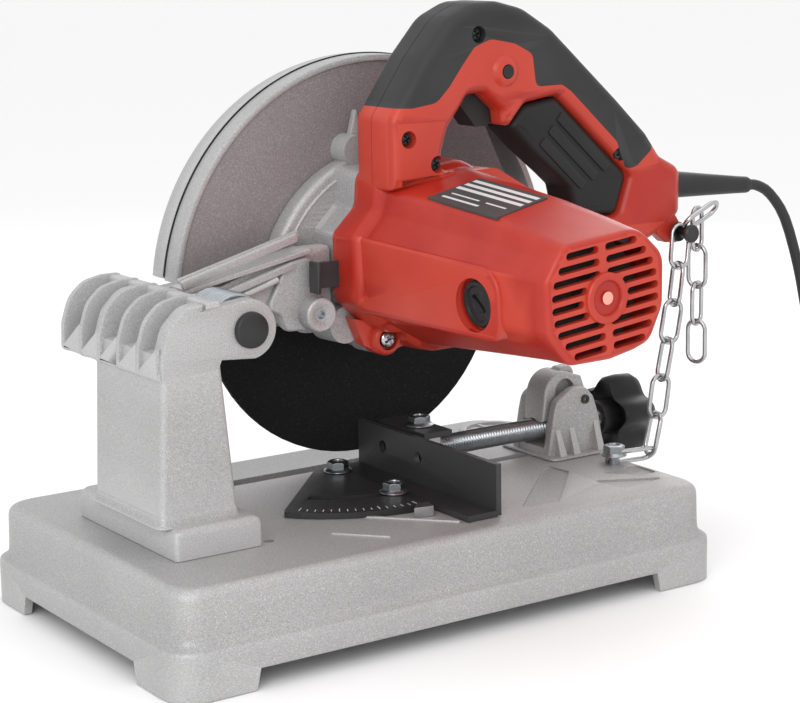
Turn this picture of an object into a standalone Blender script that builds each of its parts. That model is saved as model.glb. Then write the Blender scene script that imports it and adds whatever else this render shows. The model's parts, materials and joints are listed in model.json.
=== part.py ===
"""Abrasive chop saw: cast base, hinged cutting head, mitre fence, screw vise and power lead.

Lengths below are millimetres; MM turns them into metres.  X runs from the hinge tower to the
operator's side, Y from the motor to the cutting disc, Z up.  The design numbers are measured from the
middle of the base, and FRAME moves them so that the origin is under the middle of the saw's box.
"""
import math

import bmesh
import bpy
from mathutils import Matrix, Vector

MM = 0.001
GAP = 0.3                     # clearance between neighbouring castings and mouldings
TAU = 2.0 * math.pi

# ---- driving dimensions -------------------------------------------------------------------------
BASE_X = (-156.0, 160.0)      # outer flare of the base
BASE_Y = (-94.0, 106.0)
BASE_Z = 50.0                 # height of the table
BASE_STEP = 3.8               # the lower skirt stands out from the upper wall by this much
STEP_Z = (22.0, 28.0)
FOOT_Z = 10.0
FOOT_LENGTH = 42.0
WALL = 5.0
CORNER = 17.0

HINGE = (-82.8, 151.2)        # arm pin, x and z
SPINDLE = (37.7, 149.0)       # disc axis, x and z
GEAR_MODULE = 1.0
GEAR_TEETH = 32
PINION_TEETH = 8
GEAR_CENTRES = GEAR_MODULE * (GEAR_TEETH + PINION_TEETH) / 2.0
MOTOR = (38.3, SPINDLE[1] + math.sqrt(GEAR_CENTRES ** 2 - 0.6 ** 2))
MOTOR_Y = (-147.0, 8.0)       # end cap face, joint with the gear case
MESH_ANGLE = math.atan2(MOTOR[1] - SPINDLE[1], MOTOR[0] - SPINDLE[0])   # from the disc axis to the motor's
HOUSING_SCREW = (22.0, 127.5)
HEAD_TILT = math.radians(6.5)  # the head sits this far above level when it is chained down

DISC_R = 92.5                 # 185 mm abrasive disc
DISC_Y = (57.8, 60.2)
GUARD_R = 119.5
GUARD_Y = (36.9, 48.0, 72.0)  # near face, parting line, far face
GUARD_START = math.radians(173.0)
GUARD_END = math.radians(16.0)
DRUM_R = 72.0
DRUM_Y = 25.0

TOWER_Y = (-39.0, 29.0)
FIN_Y_END = 62.0
PIN_R = 6.5

VISE_Y = 14.5                 # vise screw axis
VISE_Z = 63.5
SCREW_R = 5.75                # M12 thread
FENCE_X = 31.0
JAW_X = 38.6
FENCE_PIVOT = (10.6, 36.0)
FENCE_LOCK = (10.6, -16.5)

HANDLE_Y = (-26.0, -8.0, 8.0)  # near face, parting line, far face
HANDLE_TIP_X = 196.0
HANDLE_SCREWS = ((16.2, 231.0), (32.0, 218.5))
RELIEF = (197.0, 256.0, -8.0)   # strain relief: start x, end x, y
RELIEF_Z = (193.0, 188.0)
CORD_D = 6.0
HOOK = (189.0, 170.0)         # chain hook pin, x and z
HOOK_Y = (-36.0, -26.5)
CHAIN_BOLT = (142.9, -29.8)

CHAIN_R = 1.8
CHAIN_TAIL_X = 199.2

FRAME = Vector((-(BASE_X[0] + CHAIN_TAIL_X + CHAIN_R) / 2.0, -(MOTOR_Y[0] + BASE_Y[1]) / 2.0, 0.0))

# ---- finishes: colour, roughness, metallic -------------------------------------------------------
FINISH = {
    "silver": ((0.62, 0.62, 0.63), 0.45, 0.55),
    "mauve": ((0.42, 0.37, 0.39), 0.50, 0.35),
    "red": ((0.72, 0.07, 0.04), 0.35, 0.0),
    "rubber": ((0.05, 0.05, 0.055), 0.62, 0.0),
    "black_steel": ((0.02, 0.02, 0.02), 0.40, 0.3),
    "abrasive": ((0.025, 0.024, 0.024), 0.88, 0.0),
    "zinc": ((0.55, 0.58, 0.60), 0.30, 0.95),
    "chrome": ((0.75, 0.75, 0.77), 0.15, 1.0),
    "steel": ((0.50, 0.50, 0.52), 0.35, 0.95),
    "copper": ((0.72, 0.38, 0.20), 0.40, 0.9),
    "carbon": ((0.08, 0.08, 0.085), 0.60, 0.1),
}


def start_scene():
    """Empty the scene and make the two collections and the frame empty."""
    for old in list(bpy.data.objects):
        bpy.data.objects.remove(old, do_unlink=True)
    made = []
    for title in ("abrasive_chop_saw", "cutters"):
        group = bpy.data.collections.new(title)
        bpy.context.scene.collection.children.link(group)
        made.append(group)
    frame = bpy.data.objects.new("saw_frame", None)
    frame.location = FRAME * MM
    made[0].objects.link(frame)
    return made[0], made[1], frame


PARTS, CUTTERS, ROOT = start_scene()


def pivot(name, x, y, z):
    """An empty on a joint's axis, which the moving pieces hang from."""
    empty = bpy.data.objects.new(name, None)
    empty.location = Vector((x, y, z)) * MM
    empty.parent = ROOT
    PARTS.objects.link(empty)
    return empty


HEAD = pivot("arm_hinge_pivot", HINGE[0], 0.0, HINGE[1])
ROTOR = pivot("motor_pivot", MOTOR[0], 0.0, MOTOR[1])
SPIN = pivot("spindle_pivot", SPINDLE[0], 0.0, SPINDLE[1])
FENCE = pivot("fence_pivot", FENCE_PIVOT[0], FENCE_PIVOT[1], BASE_Z)
VISE = pivot("vise_pivot", 60.0, VISE_Y, VISE_Z)


# ---- modelling helpers ---------------------------------------------------------------------------
def keep(obj, parent):
    obj.parent = parent
    shift = parent.location if parent is not ROOT else Vector()
    obj.matrix_parent_inverse = Matrix.Translation(-shift)
    return obj


def add(name, mesh, parent=None):
    """Link a mesh as an object, still unpainted."""
    obj = bpy.data.objects.new(name, mesh)
    PARTS.objects.link(obj)
    return keep(obj, parent or ROOT)


def paint(obj, finish):
    """Give the object its own Principled material."""
    colour, roughness, metallic = FINISH[finish]
    mat = bpy.data.materials.new(obj.name + "_" + finish)
    mat.use_nodes = True
    shader = mat.node_tree.nodes["Principled BSDF"]
    shader.inputs["Base Color"].default_value = (*colour, 1.0)
    shader.inputs["Roughness"].default_value = roughness
    shader.inputs["Metallic"].default_value = metallic
    obj.data.materials.clear()
    obj.data.materials.append(mat)
    if obj.type == "MESH":
        obj.data.shade_smooth()
        obj.data.set_sharp_from_angle(angle=math.radians(35.0))
    return obj


def as_tool(obj):
    """Turn an object into a hidden boolean operand."""
    obj.hide_render = True
    obj.display_type = "WIRE"
    for group in list(obj.users_collection):
        group.objects.unlink(obj)
    CUTTERS.objects.link(obj)
    return keep(obj, ROOT)


def boolean(obj, operation, tools):
    for tool in tools:
        mod = obj.modifiers.new(operation.lower(), "BOOLEAN")
        mod.operation = operation
        mod.solver = "EXACT"
        mod.object = as_tool(tool)
    return obj


def cut(obj, *tools):
    return boolean(obj, "DIFFERENCE", tools)


def fuse(obj, *tools):
    return boolean(obj, "UNION", tools)


def mesh_of(bm, name):
    bmesh.ops.recalc_face_normals(bm, faces=bm.faces[:])
    mesh = bpy.data.meshes.new(name)
    bm.to_mesh(mesh)
    bm.free()
    return mesh


def box(name, x, y, z, parent=None):
    """A block between two values on each axis."""
    bm = bmesh.new()
    bmesh.ops.create_cube(bm, size=1.0)
    size = Vector((x[1] - x[0], y[1] - y[0], z[1] - z[0])) * MM
    centre = Vector((x[0] + x[1], y[0] + y[1], z[0] + z[1])) * MM / 2.0
    bmesh.ops.scale(bm, vec=size, verts=bm.verts[:])
    bmesh.ops.translate(bm, vec=centre, verts=bm.verts[:])
    return add(name, mesh_of(bm, name), parent)


def rod(name, start, end, radius, sides=32, parent=None, end_radius=None):
    """A cylinder or cone between two points."""
    a, b = Vector(start) * MM, Vector(end) * MM
    bm = bmesh.new()
    tip = radius if end_radius is None else end_radius
    bmesh.ops.create_cone(bm, cap_ends=True, segments=sides, radius1=radius * MM, radius2=tip * MM,
                          depth=(b - a).length)
    turn = (b - a).to_track_quat("Z", "Y").to_matrix().to_4x4()
    bmesh.ops.transform(bm, matrix=Matrix.Translation((a + b) / 2.0) @ turn, verts=bm.verts[:])
    return add(name, mesh_of(bm, name), parent)


def turned(name, origin, axis, profile, steps=32, closed=False, parent=None):
    """A profile of (radius, height) pairs, outer side first and downwards, turned about an axis."""
    mesh = bpy.data.meshes.new(name)
    edges = [(i, i + 1) for i in range(len(profile) - 1)]
    if closed:
        edges.append((len(profile) - 1, 0))
    mesh.from_pydata([(r * MM, 0.0, h * MM) for r, h in profile], edges, [])
    obj = bpy.data.objects.new(name, mesh)
    PARTS.objects.link(obj)
    obj.location = Vector(origin) * MM
    obj.rotation_euler = Vector(axis).to_track_quat("Z", "Y").to_euler()
    mod = obj.modifiers.new("turn", "SCREW")
    mod.steps = steps
    mod.render_steps = steps
    mod.use_merge_vertices = True
    mod.merge_threshold = 1e-5
    return keep(obj, parent or ROOT)


def tube_ring(name, origin, axis, outer, inner, length, steps=32, parent=None):
    """A plain ring from the origin along the axis."""
    profile = [(outer, length), (outer, 0.0), (inner, 0.0), (inner, length)]
    return turned(name, origin, axis, profile, steps, True, parent)


def arc(cx, cy, radius, start, end, count):
    """Points on an arc, angles in radians."""
    return [(cx + radius * math.cos(start + (end - start) * i / count),
             cy + radius * math.sin(start + (end - start) * i / count)) for i in range(count + 1)]


def rounded(points, radius, count=3):
    """A closed outline with its corners rounded by up to the given radius."""
    out = []
    for i, p in enumerate(points):
        p = Vector(p)
        before, after = Vector(points[i - 1]) - p, Vector(points[(i + 1) % len(points)]) - p
        half = before.angle(after) / 2.0
        if half > math.radians(84.0):
            out.append(tuple(p))
            continue
        reach = min(radius / math.tan(half), 0.45 * before.length, 0.45 * after.length)
        a, b = p + before.normalized() * reach, p + after.normalized() * reach
        for k in range(count + 1):
            t = k / count
            out.append(tuple((1 - t) ** 2 * a + 2 * t * (1 - t) * p + t ** 2 * b))
    return out


PLANES = {"XY": Matrix.Identity(4),
          "XZ": Matrix.Rotation(math.pi / 2.0, 4, "X"),
          "YZ": Matrix(((0, 0, 1, 0), (1, 0, 0, 0), (0, 1, 0, 0), (0, 0, 0, 1)))}


def prism(name, plane, span, outline, *holes, parent=None):
    """A flat outline, with any holes, filled and extruded across its plane between two values."""
    curve = bpy.data.curves.new(name, "CURVE")
    curve.dimensions = "2D"
    curve.fill_mode = "BOTH"
    curve.extrude = (span[1] - span[0]) / 2.0 * MM
    for loop in (outline, *holes):
        spline = curve.splines.new("POLY")
        spline.points.add(len(loop) - 1)
        spline.use_cyclic_u = True
        for point, (u, v) in zip(spline.points, loop):
            point.co = (u * MM, v * MM, 0.0, 1.0)
    source = bpy.data.objects.new(name + "_outline", curve)
    PARTS.objects.link(source)
    graph = bpy.context.evaluated_depsgraph_get()
    bm = bmesh.new()
    bm.from_mesh(bpy.data.meshes.new_from_object(source.evaluated_get(graph)))
    bpy.data.objects.remove(source)
    bmesh.ops.remove_doubles(bm, verts=bm.verts[:], dist=1e-6)
    middle = (span[0] + span[1]) / 2.0 * MM
    offset = {"XY": (0, 0, middle), "XZ": (0, middle, 0), "YZ": (middle, 0, 0)}[plane]
    bmesh.ops.transform(bm, matrix=Matrix.Translation(offset) @ PLANES[plane], verts=bm.verts[:])
    return add(name, mesh_of(bm, name), parent)


def loft(name, sections, parent=None):
    """A closed skin through sections with the same number of points, capped at both ends."""
    bm = bmesh.new()
    rings = [[bm.verts.new(Vector(p) * MM) for p in section] for section in sections]
    for low, high in zip(rings, rings[1:]):
        for i in range(len(low)):
            j = (i + 1) % len(low)
            bm.faces.new((low[i], low[j], high[j], high[i]))
    bm.faces.new(rings[0])
    bm.faces.new(rings[-1])
    return add(name, mesh_of(bm, name), parent)


def wire(name, points, radius, resolution=2, closed=False, parent=None):
    """A round wire through the given points."""
    curve = bpy.data.curves.new(name, "CURVE")
    curve.dimensions = "3D"
    curve.bevel_depth = radius * MM
    curve.bevel_resolution = resolution
    curve.use_fill_caps = not closed
    spline = curve.splines.new("POLY")
    spline.points.add(len(points) - 1)
    spline.use_cyclic_u = closed
    for point, co in zip(spline.points, points):
        point.co = (*(Vector(co) * MM), 1.0)
    obj = bpy.data.objects.new(name, curve)
    PARTS.objects.link(obj)
    return keep(obj, parent or ROOT)


def smooth_route(points, spacing):
    """Evenly spaced points on a Catmull-Rom curve through the route's own points."""
    pts = [Vector(p) for p in points]
    pts = [2 * pts[0] - pts[1]] + pts + [2 * pts[-1] - pts[-2]]
    fine = []
    for a, b, c, d in zip(pts, pts[1:], pts[2:], pts[3:]):
        for k in range(24):
            t = k / 24.0
            fine.append(0.5 * (2 * b + (c - a) * t + (2 * a - 5 * b + 4 * c - d) * t ** 2
                               + (3 * b - a - 3 * c + d) * t ** 3))
    fine.append(pts[-2])
    total = sum((q - p).length for p, q in zip(fine, fine[1:]))
    count = max(2, round(total / spacing))
    out, travelled, target = [fine[0]], 0.0, total / count
    for p, q in zip(fine, fine[1:]):
        step = (q - p).length
        while travelled + step >= target - 1e-9 and len(out) < count:
            out.append(p + (q - p) * ((target - travelled) / step))
            target += total / count
        travelled += step
    out.append(fine[-1])
    return out


def hexagon(cx, cy, across):
    return arc(cx, cy, across / math.sqrt(3.0), 0.0, TAU * 5 / 6, 5)


def hex_bolt(name, x, y, z, across, head, flange_r, shank_r, shank_z, parent=None):
    """A flanged hex bolt standing on z with its shank going down to shank_z."""
    bolt = prism(name, "XY", (z + 1.4, z + 1.4 + head), hexagon(x, y, across), parent=parent)
    fuse(bolt, rod(name + "_flange", (x, y, z), (x, y, z + 1.6), flange_r, 24),
         rod(name + "_shank", (x, y, shank_z), (x, y, z + 0.5), shank_r, 16))
    return bolt


# ---- base ----------------------------------------------------------------------------------------
def base_outline(inset):
    x0, x1 = BASE_X[0] + inset, BASE_X[1] - inset
    y0, y1 = BASE_Y[0] + inset, BASE_Y[1] - inset
    return rounded([(x0, y0), (x1, y0), (x1, y1), (x0, y1)], max(CORNER - inset * 0.6, 4.0), 5)


def base_casting():
    """Open-bottomed table with a stepped skirt, four corner feet, a disc slot and a vise slot."""
    levels = [(0.0, 0.0), (STEP_Z[0], 0.0), (STEP_Z[1], BASE_STEP), (BASE_Z - 3.0, BASE_STEP + 0.6),
              (BASE_Z, BASE_STEP + 3.6)]
    base = loft("base_casting", [[(x, y, z) for x, y in base_outline(i)] for z, i in levels])
    inner = [(-2.0, WALL - 1.0), (STEP_Z[0] - 2.0, WALL), (STEP_Z[1] - 2.0, WALL + BASE_STEP),
             (BASE_Z - 6.0, WALL + BASE_STEP + 1.0)]
    hollow = loft("base_hollow", [[(x, y, z) for x, y in base_outline(i)] for z, i in inner])
    long_gap = box("gap_between_feet_x", (BASE_X[0] + FOOT_LENGTH, BASE_X[1] - FOOT_LENGTH),
                   (BASE_Y[0] - 9.0, BASE_Y[1] + 9.0), (-3.0, FOOT_Z))
    short_gap = box("gap_between_feet_y", (BASE_X[0] - 9.0, BASE_X[1] + 9.0),
                    (BASE_Y[0] + FOOT_LENGTH, BASE_Y[1] - FOOT_LENGTH), (-3.0, FOOT_Z))
    disc_slot = box("disc_slot", (-72.0, 104.0), (54.0, 64.0), (BASE_Z - 9.0, BASE_Z + 5.0))
    jaw_slot = box("jaw_slot", (52.0, 119.0), (VISE_Y - 3.5, VISE_Y + 3.5), (BASE_Z - 9.0, BASE_Z + 5.0))
    bolt_holes = [rod("fence_hole_%d" % i, (x, y, BASE_Z - 9.0), (x, y, BASE_Z + 5.0), 3.3, 16)
                  for i, (x, y) in enumerate((FENCE_PIVOT, FENCE_LOCK, CHAIN_BOLT))]
    tower_holes = [rod("tower_hole_%d" % i, (-107.0, y, BASE_Z - 9.0), (-107.0, y, BASE_Z + 5.0), 3.3, 16)
                   for i, y in enumerate((-30.0, 34.0))]
    cut(base, hollow, long_gap, short_gap, disc_slot, jaw_slot, *bolt_holes, *tower_holes)
    return paint(base, "silver")


def hinge_tower():
    """Ribbed column with two cheeks that carry the arm pin, on a bolted foot."""
    foot = prism("hinge_tower", "XY", (BASE_Z + GAP, BASE_Z + 15.0),
                 rounded([(-129.5, -47.5), (-84.0, -47.5), (-84.0, 52.0), (-129.5, 52.0)], 2.0, 2))
    column = prism("tower_column", "XZ", TOWER_Y,
                   [(-133.0, BASE_Z + 8.0), (-91.4, BASE_Z + 8.0), (-98.4, 144.0), (-129.0, 144.0)])
    back = rounded([(-136.0, 136.0), (-133.5, 152.0), (-126.0, 163.5), (-112.0, 169.5), (-107.0, 169.5),
                    (-107.0, 131.0), (-129.0, 131.0)], 3.0, 2)
    block = prism("tower_rib_block", "XZ", (TOWER_Y[0] + 0.4, FIN_Y_END), back)
    cheek = [(-130.0, 133.0), (-130.0, 155.0), (-112.0, 167.0)]
    cheek += arc(HINGE[0], HINGE[1], 14.0, math.radians(88.0), math.radians(-92.0), 12)
    cheek += [(-98.4, 137.6)]
    near = prism("tower_cheek_near", "XZ", (TOWER_Y[0] + 0.2, -30.0), cheek)
    far = prism("tower_cheek_far", "XZ", (21.0, 30.0), cheek)
    pocket = rounded([(-137.5, 139.0), (-134.5, 158.0), (-126.0, 172.0), (-111.0, 173.0), (-111.0, 150.0)],
                     1.5, 2)
    pitch = (FIN_Y_END - TOWER_Y[0]) / 5.0
    pockets = [prism("tower_pocket_%d" % i, "XZ",
                     (TOWER_Y[0] + 2.8 + i * pitch, TOWER_Y[0] - 0.4 + (i + 1) * pitch), pocket)
               for i in range(5)]
    bore = rod("tower_bore", (HINGE[0], -60.0, HINGE[1]), (HINGE[0], 60.0, HINGE[1]), PIN_R + GAP, 24)
    holes = [rod("tower_foot_hole_%d" % i, (-107.0, y, BASE_Z - 3.0), (-107.0, y, BASE_Z + 10.0), 3.3, 16)
             for i, y in enumerate((-30.0, 34.0))]
    fuse(foot, column, block, near, far)
    cut(foot, *pockets, bore, *holes)
    return paint(foot, "silver")


def tower_fasteners():
    for i, y in enumerate((-30.0, 34.0)):
        name = "tower_bolt_%s" % ("near", "far")[i]
        bolt = prism(name, "XY", (BASE_Z - 12.0, BASE_Z - 7.6), hexagon(-107.0, y, 10.0))
        fuse(bolt, rod(name + "_shank", (-107.0, y, BASE_Z - 9.0), (-107.0, y, BASE_Z + 8.0), 3.0, 16))
        paint(bolt, "zinc")
    pin = rod("hinge_pin", (HINGE[0], TOWER_Y[0] - 0.6, HINGE[1]), (HINGE[0], 36.0, HINGE[1]), PIN_R, 24)
    fuse(pin, rod("hinge_pin_cap", (HINGE[0], TOWER_Y[0] - 3.4, HINGE[1]),
                  (HINGE[0], TOWER_Y[0] - GAP, HINGE[1]), 8.4, 32))
    paint(pin, "black_steel")


def return_spring():
    """Torsion spring round the arm's barrel."""
    turns, per_turn, radius = 7, 14, 14.4
    points = []
    for i in range(turns * per_turn + 1):
        angle = TAU * i / per_turn
        points.append((HINGE[0] + radius * math.cos(angle), -27.0 + 25.0 * i / (turns * per_turn),
                       HINGE[1] + radius * math.sin(angle)))
    paint(wire("return_spring", points, 1.3, 1), "steel")


# ---- fence and vise ------------------------------------------------------------------------------
def fence():
    """Black steel angle on a 45 degree quadrant, which turns about one bolt and locks with another."""
    px, py = FENCE_PIVOT
    z0 = BASE_Z + GAP
    plate = prism("fence_angle", "YZ", (FENCE_X, FENCE_X + 3.0),
                  [(-75.0, z0 + 0.4), (47.0, z0 + 0.4), (47.0, 76.5), (-75.0, 76.5)],
                  arc(24.0, 66.0, 3.2, 0.0, TAU * 15 / 16, 15), arc(-8.0, 66.0, 3.2, 0.0, TAU * 15 / 16, 15),
                  parent=FENCE)
    foot = box("fence_foot", (14.0, FENCE_X + 1.0), (-75.0, 47.0), (z0, z0 + 3.0))
    reach = 80.0
    sector = [(px - 9.0, py + 9.0), (px + 12.0, py + 9.0), (px + 12.0, py - reach)]
    sector += arc(px, py, reach, math.radians(-90.0), math.radians(-142.0), 8)
    quadrant = prism("fence_quadrant", "XY", (z0, z0 + 3.0), rounded(sector, 2.0, 2))
    window = arc(px, py, 52.5 + 3.4, math.radians(-85.5), math.radians(-139.0), 10)
    window += arc(px, py, 52.5 - 3.4, math.radians(-139.0), math.radians(-85.5), 10)
    slot = prism("fence_arc_slot", "XY", (z0 - 4.0, z0 + 8.0), window)
    hole = rod("fence_pivot_hole", (px, py, z0 - 5.0), (px, py, z0 + 9.0), 3.4, 20)
    fuse(plate, foot, quadrant)
    cut(plate, slot, hole)
    paint(plate, "black_steel")
    top = z0 + 3.0 + GAP
    paint(hex_bolt("fence_pivot_bolt", px, py, top, 10.0, 4.0, 7.0, 3.0, BASE_Z - 12.0), "zinc")
    lx, ly = FENCE_LOCK
    paint(hex_bolt("fence_lock_bolt", lx, ly, top, 10.0, 4.0, 7.0, 3.0, BASE_Z - 12.0), "zinc")
    pointer = prism("angle_pointer", "XY", (z0, z0 + 5.0),
                    [(-2.0, -52.6), (8.0, -54.6), (10.0, -48.0), (4.5, -45.6)])
    paint(pointer, "steel")


def vise():
    """Jaw on the end of a threaded screw, which a hinged half nut holds in the bracket."""
    jaw = prism("vise_jaw", "XZ", (VISE_Y - 18.0, VISE_Y + 24.0),
                [(JAW_X, 51.0), (JAW_X + 3.0, 51.0), (JAW_X + 3.0, 73.6), (56.0, 73.6), (56.0, 76.6),
                 (JAW_X, 76.6)], parent=VISE)
    hole = rod("jaw_hole", (48.0, VISE_Y, 70.0), (48.0, VISE_Y, 80.0), 3.3, 16)
    paint(cut(jaw, hole), "black_steel")
    block = box("jaw_block", (43.6, 55.6), (VISE_Y - 8.0, VISE_Y + 8.0), (52.0, 73.2), parent=VISE)
    bore = rod("jaw_block_bore", (46.0, VISE_Y, VISE_Z), (60.0, VISE_Y, VISE_Z), SCREW_R - 1.0, 24)
    tapped = rod("jaw_block_tap", (48.0, VISE_Y, 66.0), (48.0, VISE_Y, 80.0), 3.2, 16)
    tongue = box("jaw_tongue", (44.5, 55.0), (VISE_Y - 3.0, VISE_Y + 3.0), (50.6, 53.0))
    paint(cut(fuse(block, tongue), bore, tapped), "steel")
    paint(hex_bolt("jaw_bolt", 48.0, VISE_Y, 76.9, 10.0, 3.6, 7.0, 3.0, 70.2, parent=VISE), "zinc")

    pitch = 1.75
    count = 34
    profile = [(0.0, 128.0), (4.2, 128.0), (SCREW_R - 0.4, 126.5), (SCREW_R - 0.4, 0.5 + pitch * count)]
    for i in range(count, 0, -1):
        profile += [(SCREW_R, pitch * i), (SCREW_R - 0.9, pitch * (i - 0.5))]
    profile += [(SCREW_R - 1.4, 0.0), (SCREW_R - 1.4, -9.0), (0.0, -9.0)]
    screw = turned("vise_screw", (57.0, VISE_Y, VISE_Z), (1, 0, 0), profile, 14, parent=VISE)
    paint(screw, "zinc")
    knob_outline = []
    for i in range(64):
        angle = TAU * i / 64
        radius = 19.4 + 3.4 * math.cos(5 * angle)
        knob_outline.append((VISE_Y + radius * math.cos(angle), VISE_Z + radius * math.sin(angle)))
    knob = prism("vise_knob", "YZ", (171.0, 196.0), knob_outline, parent=VISE)
    dish = tube_ring("knob_dish", (168.0, VISE_Y, VISE_Z), (1, 0, 0), 14.0, 9.6, 9.0, 24)
    neck = rod("knob_neck", (167.0, VISE_Y, VISE_Z), (174.0, VISE_Y, VISE_Z), 9.0, 24)
    socket = rod("knob_socket", (160.0, VISE_Y, VISE_Z), (186.0, VISE_Y, VISE_Z), SCREW_R + 0.1, 20)
    paint(cut(fuse(knob, neck), dish, socket), "rubber")

    side = rounded([(120.0, BASE_Z + GAP), (162.0 - 4.0, BASE_Z + GAP), (155.5, 74.0), (152.0, 84.5),
                    (144.0, 87.0), (133.0, 83.5), (127.0, 78.0)], 2.0, 2)
    bracket = prism("vise_bracket", "XZ", (VISE_Y - 15.5, VISE_Y - 10.0), side)
    far = prism("bracket_far_cheek", "XZ", (VISE_Y + 10.0, VISE_Y + 15.5), side)
    floor = box("bracket_floor", (122.0, 156.0), (VISE_Y - 12.0, VISE_Y + 12.0), (BASE_Z + GAP, 54.5))
    pin_hole = rod("bracket_pin_hole", (146.0, VISE_Y - 30.0, 79.8), (146.0, VISE_Y + 30.0, 79.8), 2.8, 16)
    fuse(bracket, far, floor)
    for y in (VISE_Y - 21.0, VISE_Y + 14.6):
        for x in (124.5, 143.0):
            rib = [(x, BASE_Z + GAP), (x + 5.5, BASE_Z + GAP), (x + 3.6, 68.0), (x + 1.9, 68.0)]
            fuse(bracket, prism("bracket_rib", "XZ", (y, y + 6.4), rib))
    paint(cut(bracket, pin_hole), "silver")

    lever = [(122.5, 68.0), (125.0, 83.0)]
    lever += arc(137.0, 82.0, 12.2, math.radians(165.0), math.radians(62.0), 6)
    lever += [(149.5, 90.5), (151.5, 84.0), (151.0, 76.0), (140.0, 73.0), (136.0, 68.0)]
    nut = prism("release_nut", "XZ", (VISE_Y - 8.6, VISE_Y + 8.6), lever)
    thread = rod("release_nut_thread", (115.0, VISE_Y, VISE_Z), (160.0, VISE_Y, VISE_Z), SCREW_R + 0.5, 24)
    nut_pin = rod("release_nut_bore", (146.0, -30.0, 79.8), (146.0, 60.0, 79.8), 2.8, 16)
    paint(cut(nut, thread, nut_pin), "silver")
    pin = rod("release_pin", (146.0, VISE_Y - 16.6, 79.8), (146.0, VISE_Y + 16.6, 79.8), 2.4, 16)
    paint(pin, "black_steel")


# ---- cutting head: castings ----------------------------------------------------------------------
def hub_outline(radius, start, end, hub_r):
    """A guard sector closed round the spindle's hub."""
    sx, sz = SPINDLE
    points = arc(sx, sz, radius, end, start, 40)
    points += [(-46.0, 152.0), (-30.0, 136.0)]
    points += arc(sx, sz, hub_r, math.radians(215.0), math.radians(325.0), 10)
    return points


def arm_casting():
    """Barrel on the hinge pin and the ribbed arm that carries the gear case."""
    hx, hz = HINGE
    outline = arc(hx, hz, 12.4, math.radians(250.0), math.radians(95.0), 10)
    outline += [(-70.0, 170.0), (-24.0, 187.5), (-8.0, 186.0), (-8.0, 150.0), (-9.0, 137.0), (-33.0, 137.0),
                (-37.0, 146.0), (-50.0, 150.0), (-62.0, 143.0)]
    arm = prism("arm_casting", "XZ", (4.3, 20.4), outline, parent=HEAD)
    barrel = rod("arm_barrel", (hx, -29.6, hz), (hx, 20.6, hz), 12.4, 32)
    boss = rod("arm_boss", (-21.0, -3.0, 145.5), (-21.0, 12.0, 145.5), 8.2, 24)
    recess = prism("arm_recess", "XZ", (-1.0, 13.0), [(-68.0, 160.0), (-30.0, 172.5), (-30.0, 180.5),
                                                      (-68.0, 166.0)])
    bore = rod("arm_bore", (hx, -50.0, hz), (hx, 50.0, hz), PIN_R + GAP, 24)
    socket = prism("arm_boss_socket", "XZ", (-6.0, 2.0), hexagon(-21.0, 145.5, 6.0))
    rest = turned("arm_barrel_waist", (hx, -28.6, hz), (0, 1, 0),
                  [(20.0, 28.0), (20.0, 0.0), (10.6, 0.0), (10.6, 28.0)], 32, True)
    fuse(arm, barrel, boss)
    cut(arm, recess, bore, socket, rest)
    return paint(arm, "silver")


def gear_case():
    """Drum on the guard with a deep housing for the gear pair, both bearings and the screw boss."""
    sx, sz = SPINDLE
    mx, mz = MOTOR
    case = prism("gear_case", "XZ", (DRUM_Y, GUARD_Y[0] - GAP), hub_outline(DRUM_R, math.radians(172.0),
                                                                            math.radians(14.0), 31.0),
                 parent=HEAD)
    block = prism("gear_case_block", "XZ", (MOTOR_Y[1] + GAP, DRUM_Y + 2.0), motor_section_xz(0.0, -1.0))
    lx, lz = HOUSING_SCREW
    case_boss = rod("gear_case_boss_rear", (0.0, MOTOR_Y[1] + GAP, 136.5), (0.0, 27.0, 136.5), 8.4, 24)
    screw_boss = rod("gear_case_boss_front", (lx, MOTOR_Y[1] + GAP, lz), (lx, 27.0, lz), 8.4, 24)
    tap = rod("gear_case_tap", (lx, 0.0, lz), (lx, 23.0, lz), 2.4, 16)
    fin = prism("gear_case_fin", "XZ", (30.0, 34.0), [(10.0, 205.0), (16.0, 229.0), (22.5, 243.0),
                                                      (25.0, 229.0), (30.0, 205.0)])
    pocket = rod("gear_pocket", (sx, MOTOR_Y[1] - 2.0, sz), (sx, 23.2, sz), GEAR_TEETH / 2.0 + 2.4, 40)
    pinion_pocket = rod("pinion_pocket", (mx, MOTOR_Y[1] - 2.0, mz), (mx, 23.2, mz), 8.6, 24)
    seat = rod("bearing_seat", (sx, 20.0, sz), (sx, 40.0, sz), 13.3, 32)
    nose = rod("front_bearing_seat", (mx, MOTOR_Y[1] - 2.0, mz), (mx, MOTOR_Y[1] + 6.6, mz), 11.3, 32)
    fuse(case, block, case_boss, screw_boss, fin)
    cut(case, pocket, pinion_pocket, seat, nose, tap)
    return paint(case, "silver")


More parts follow.
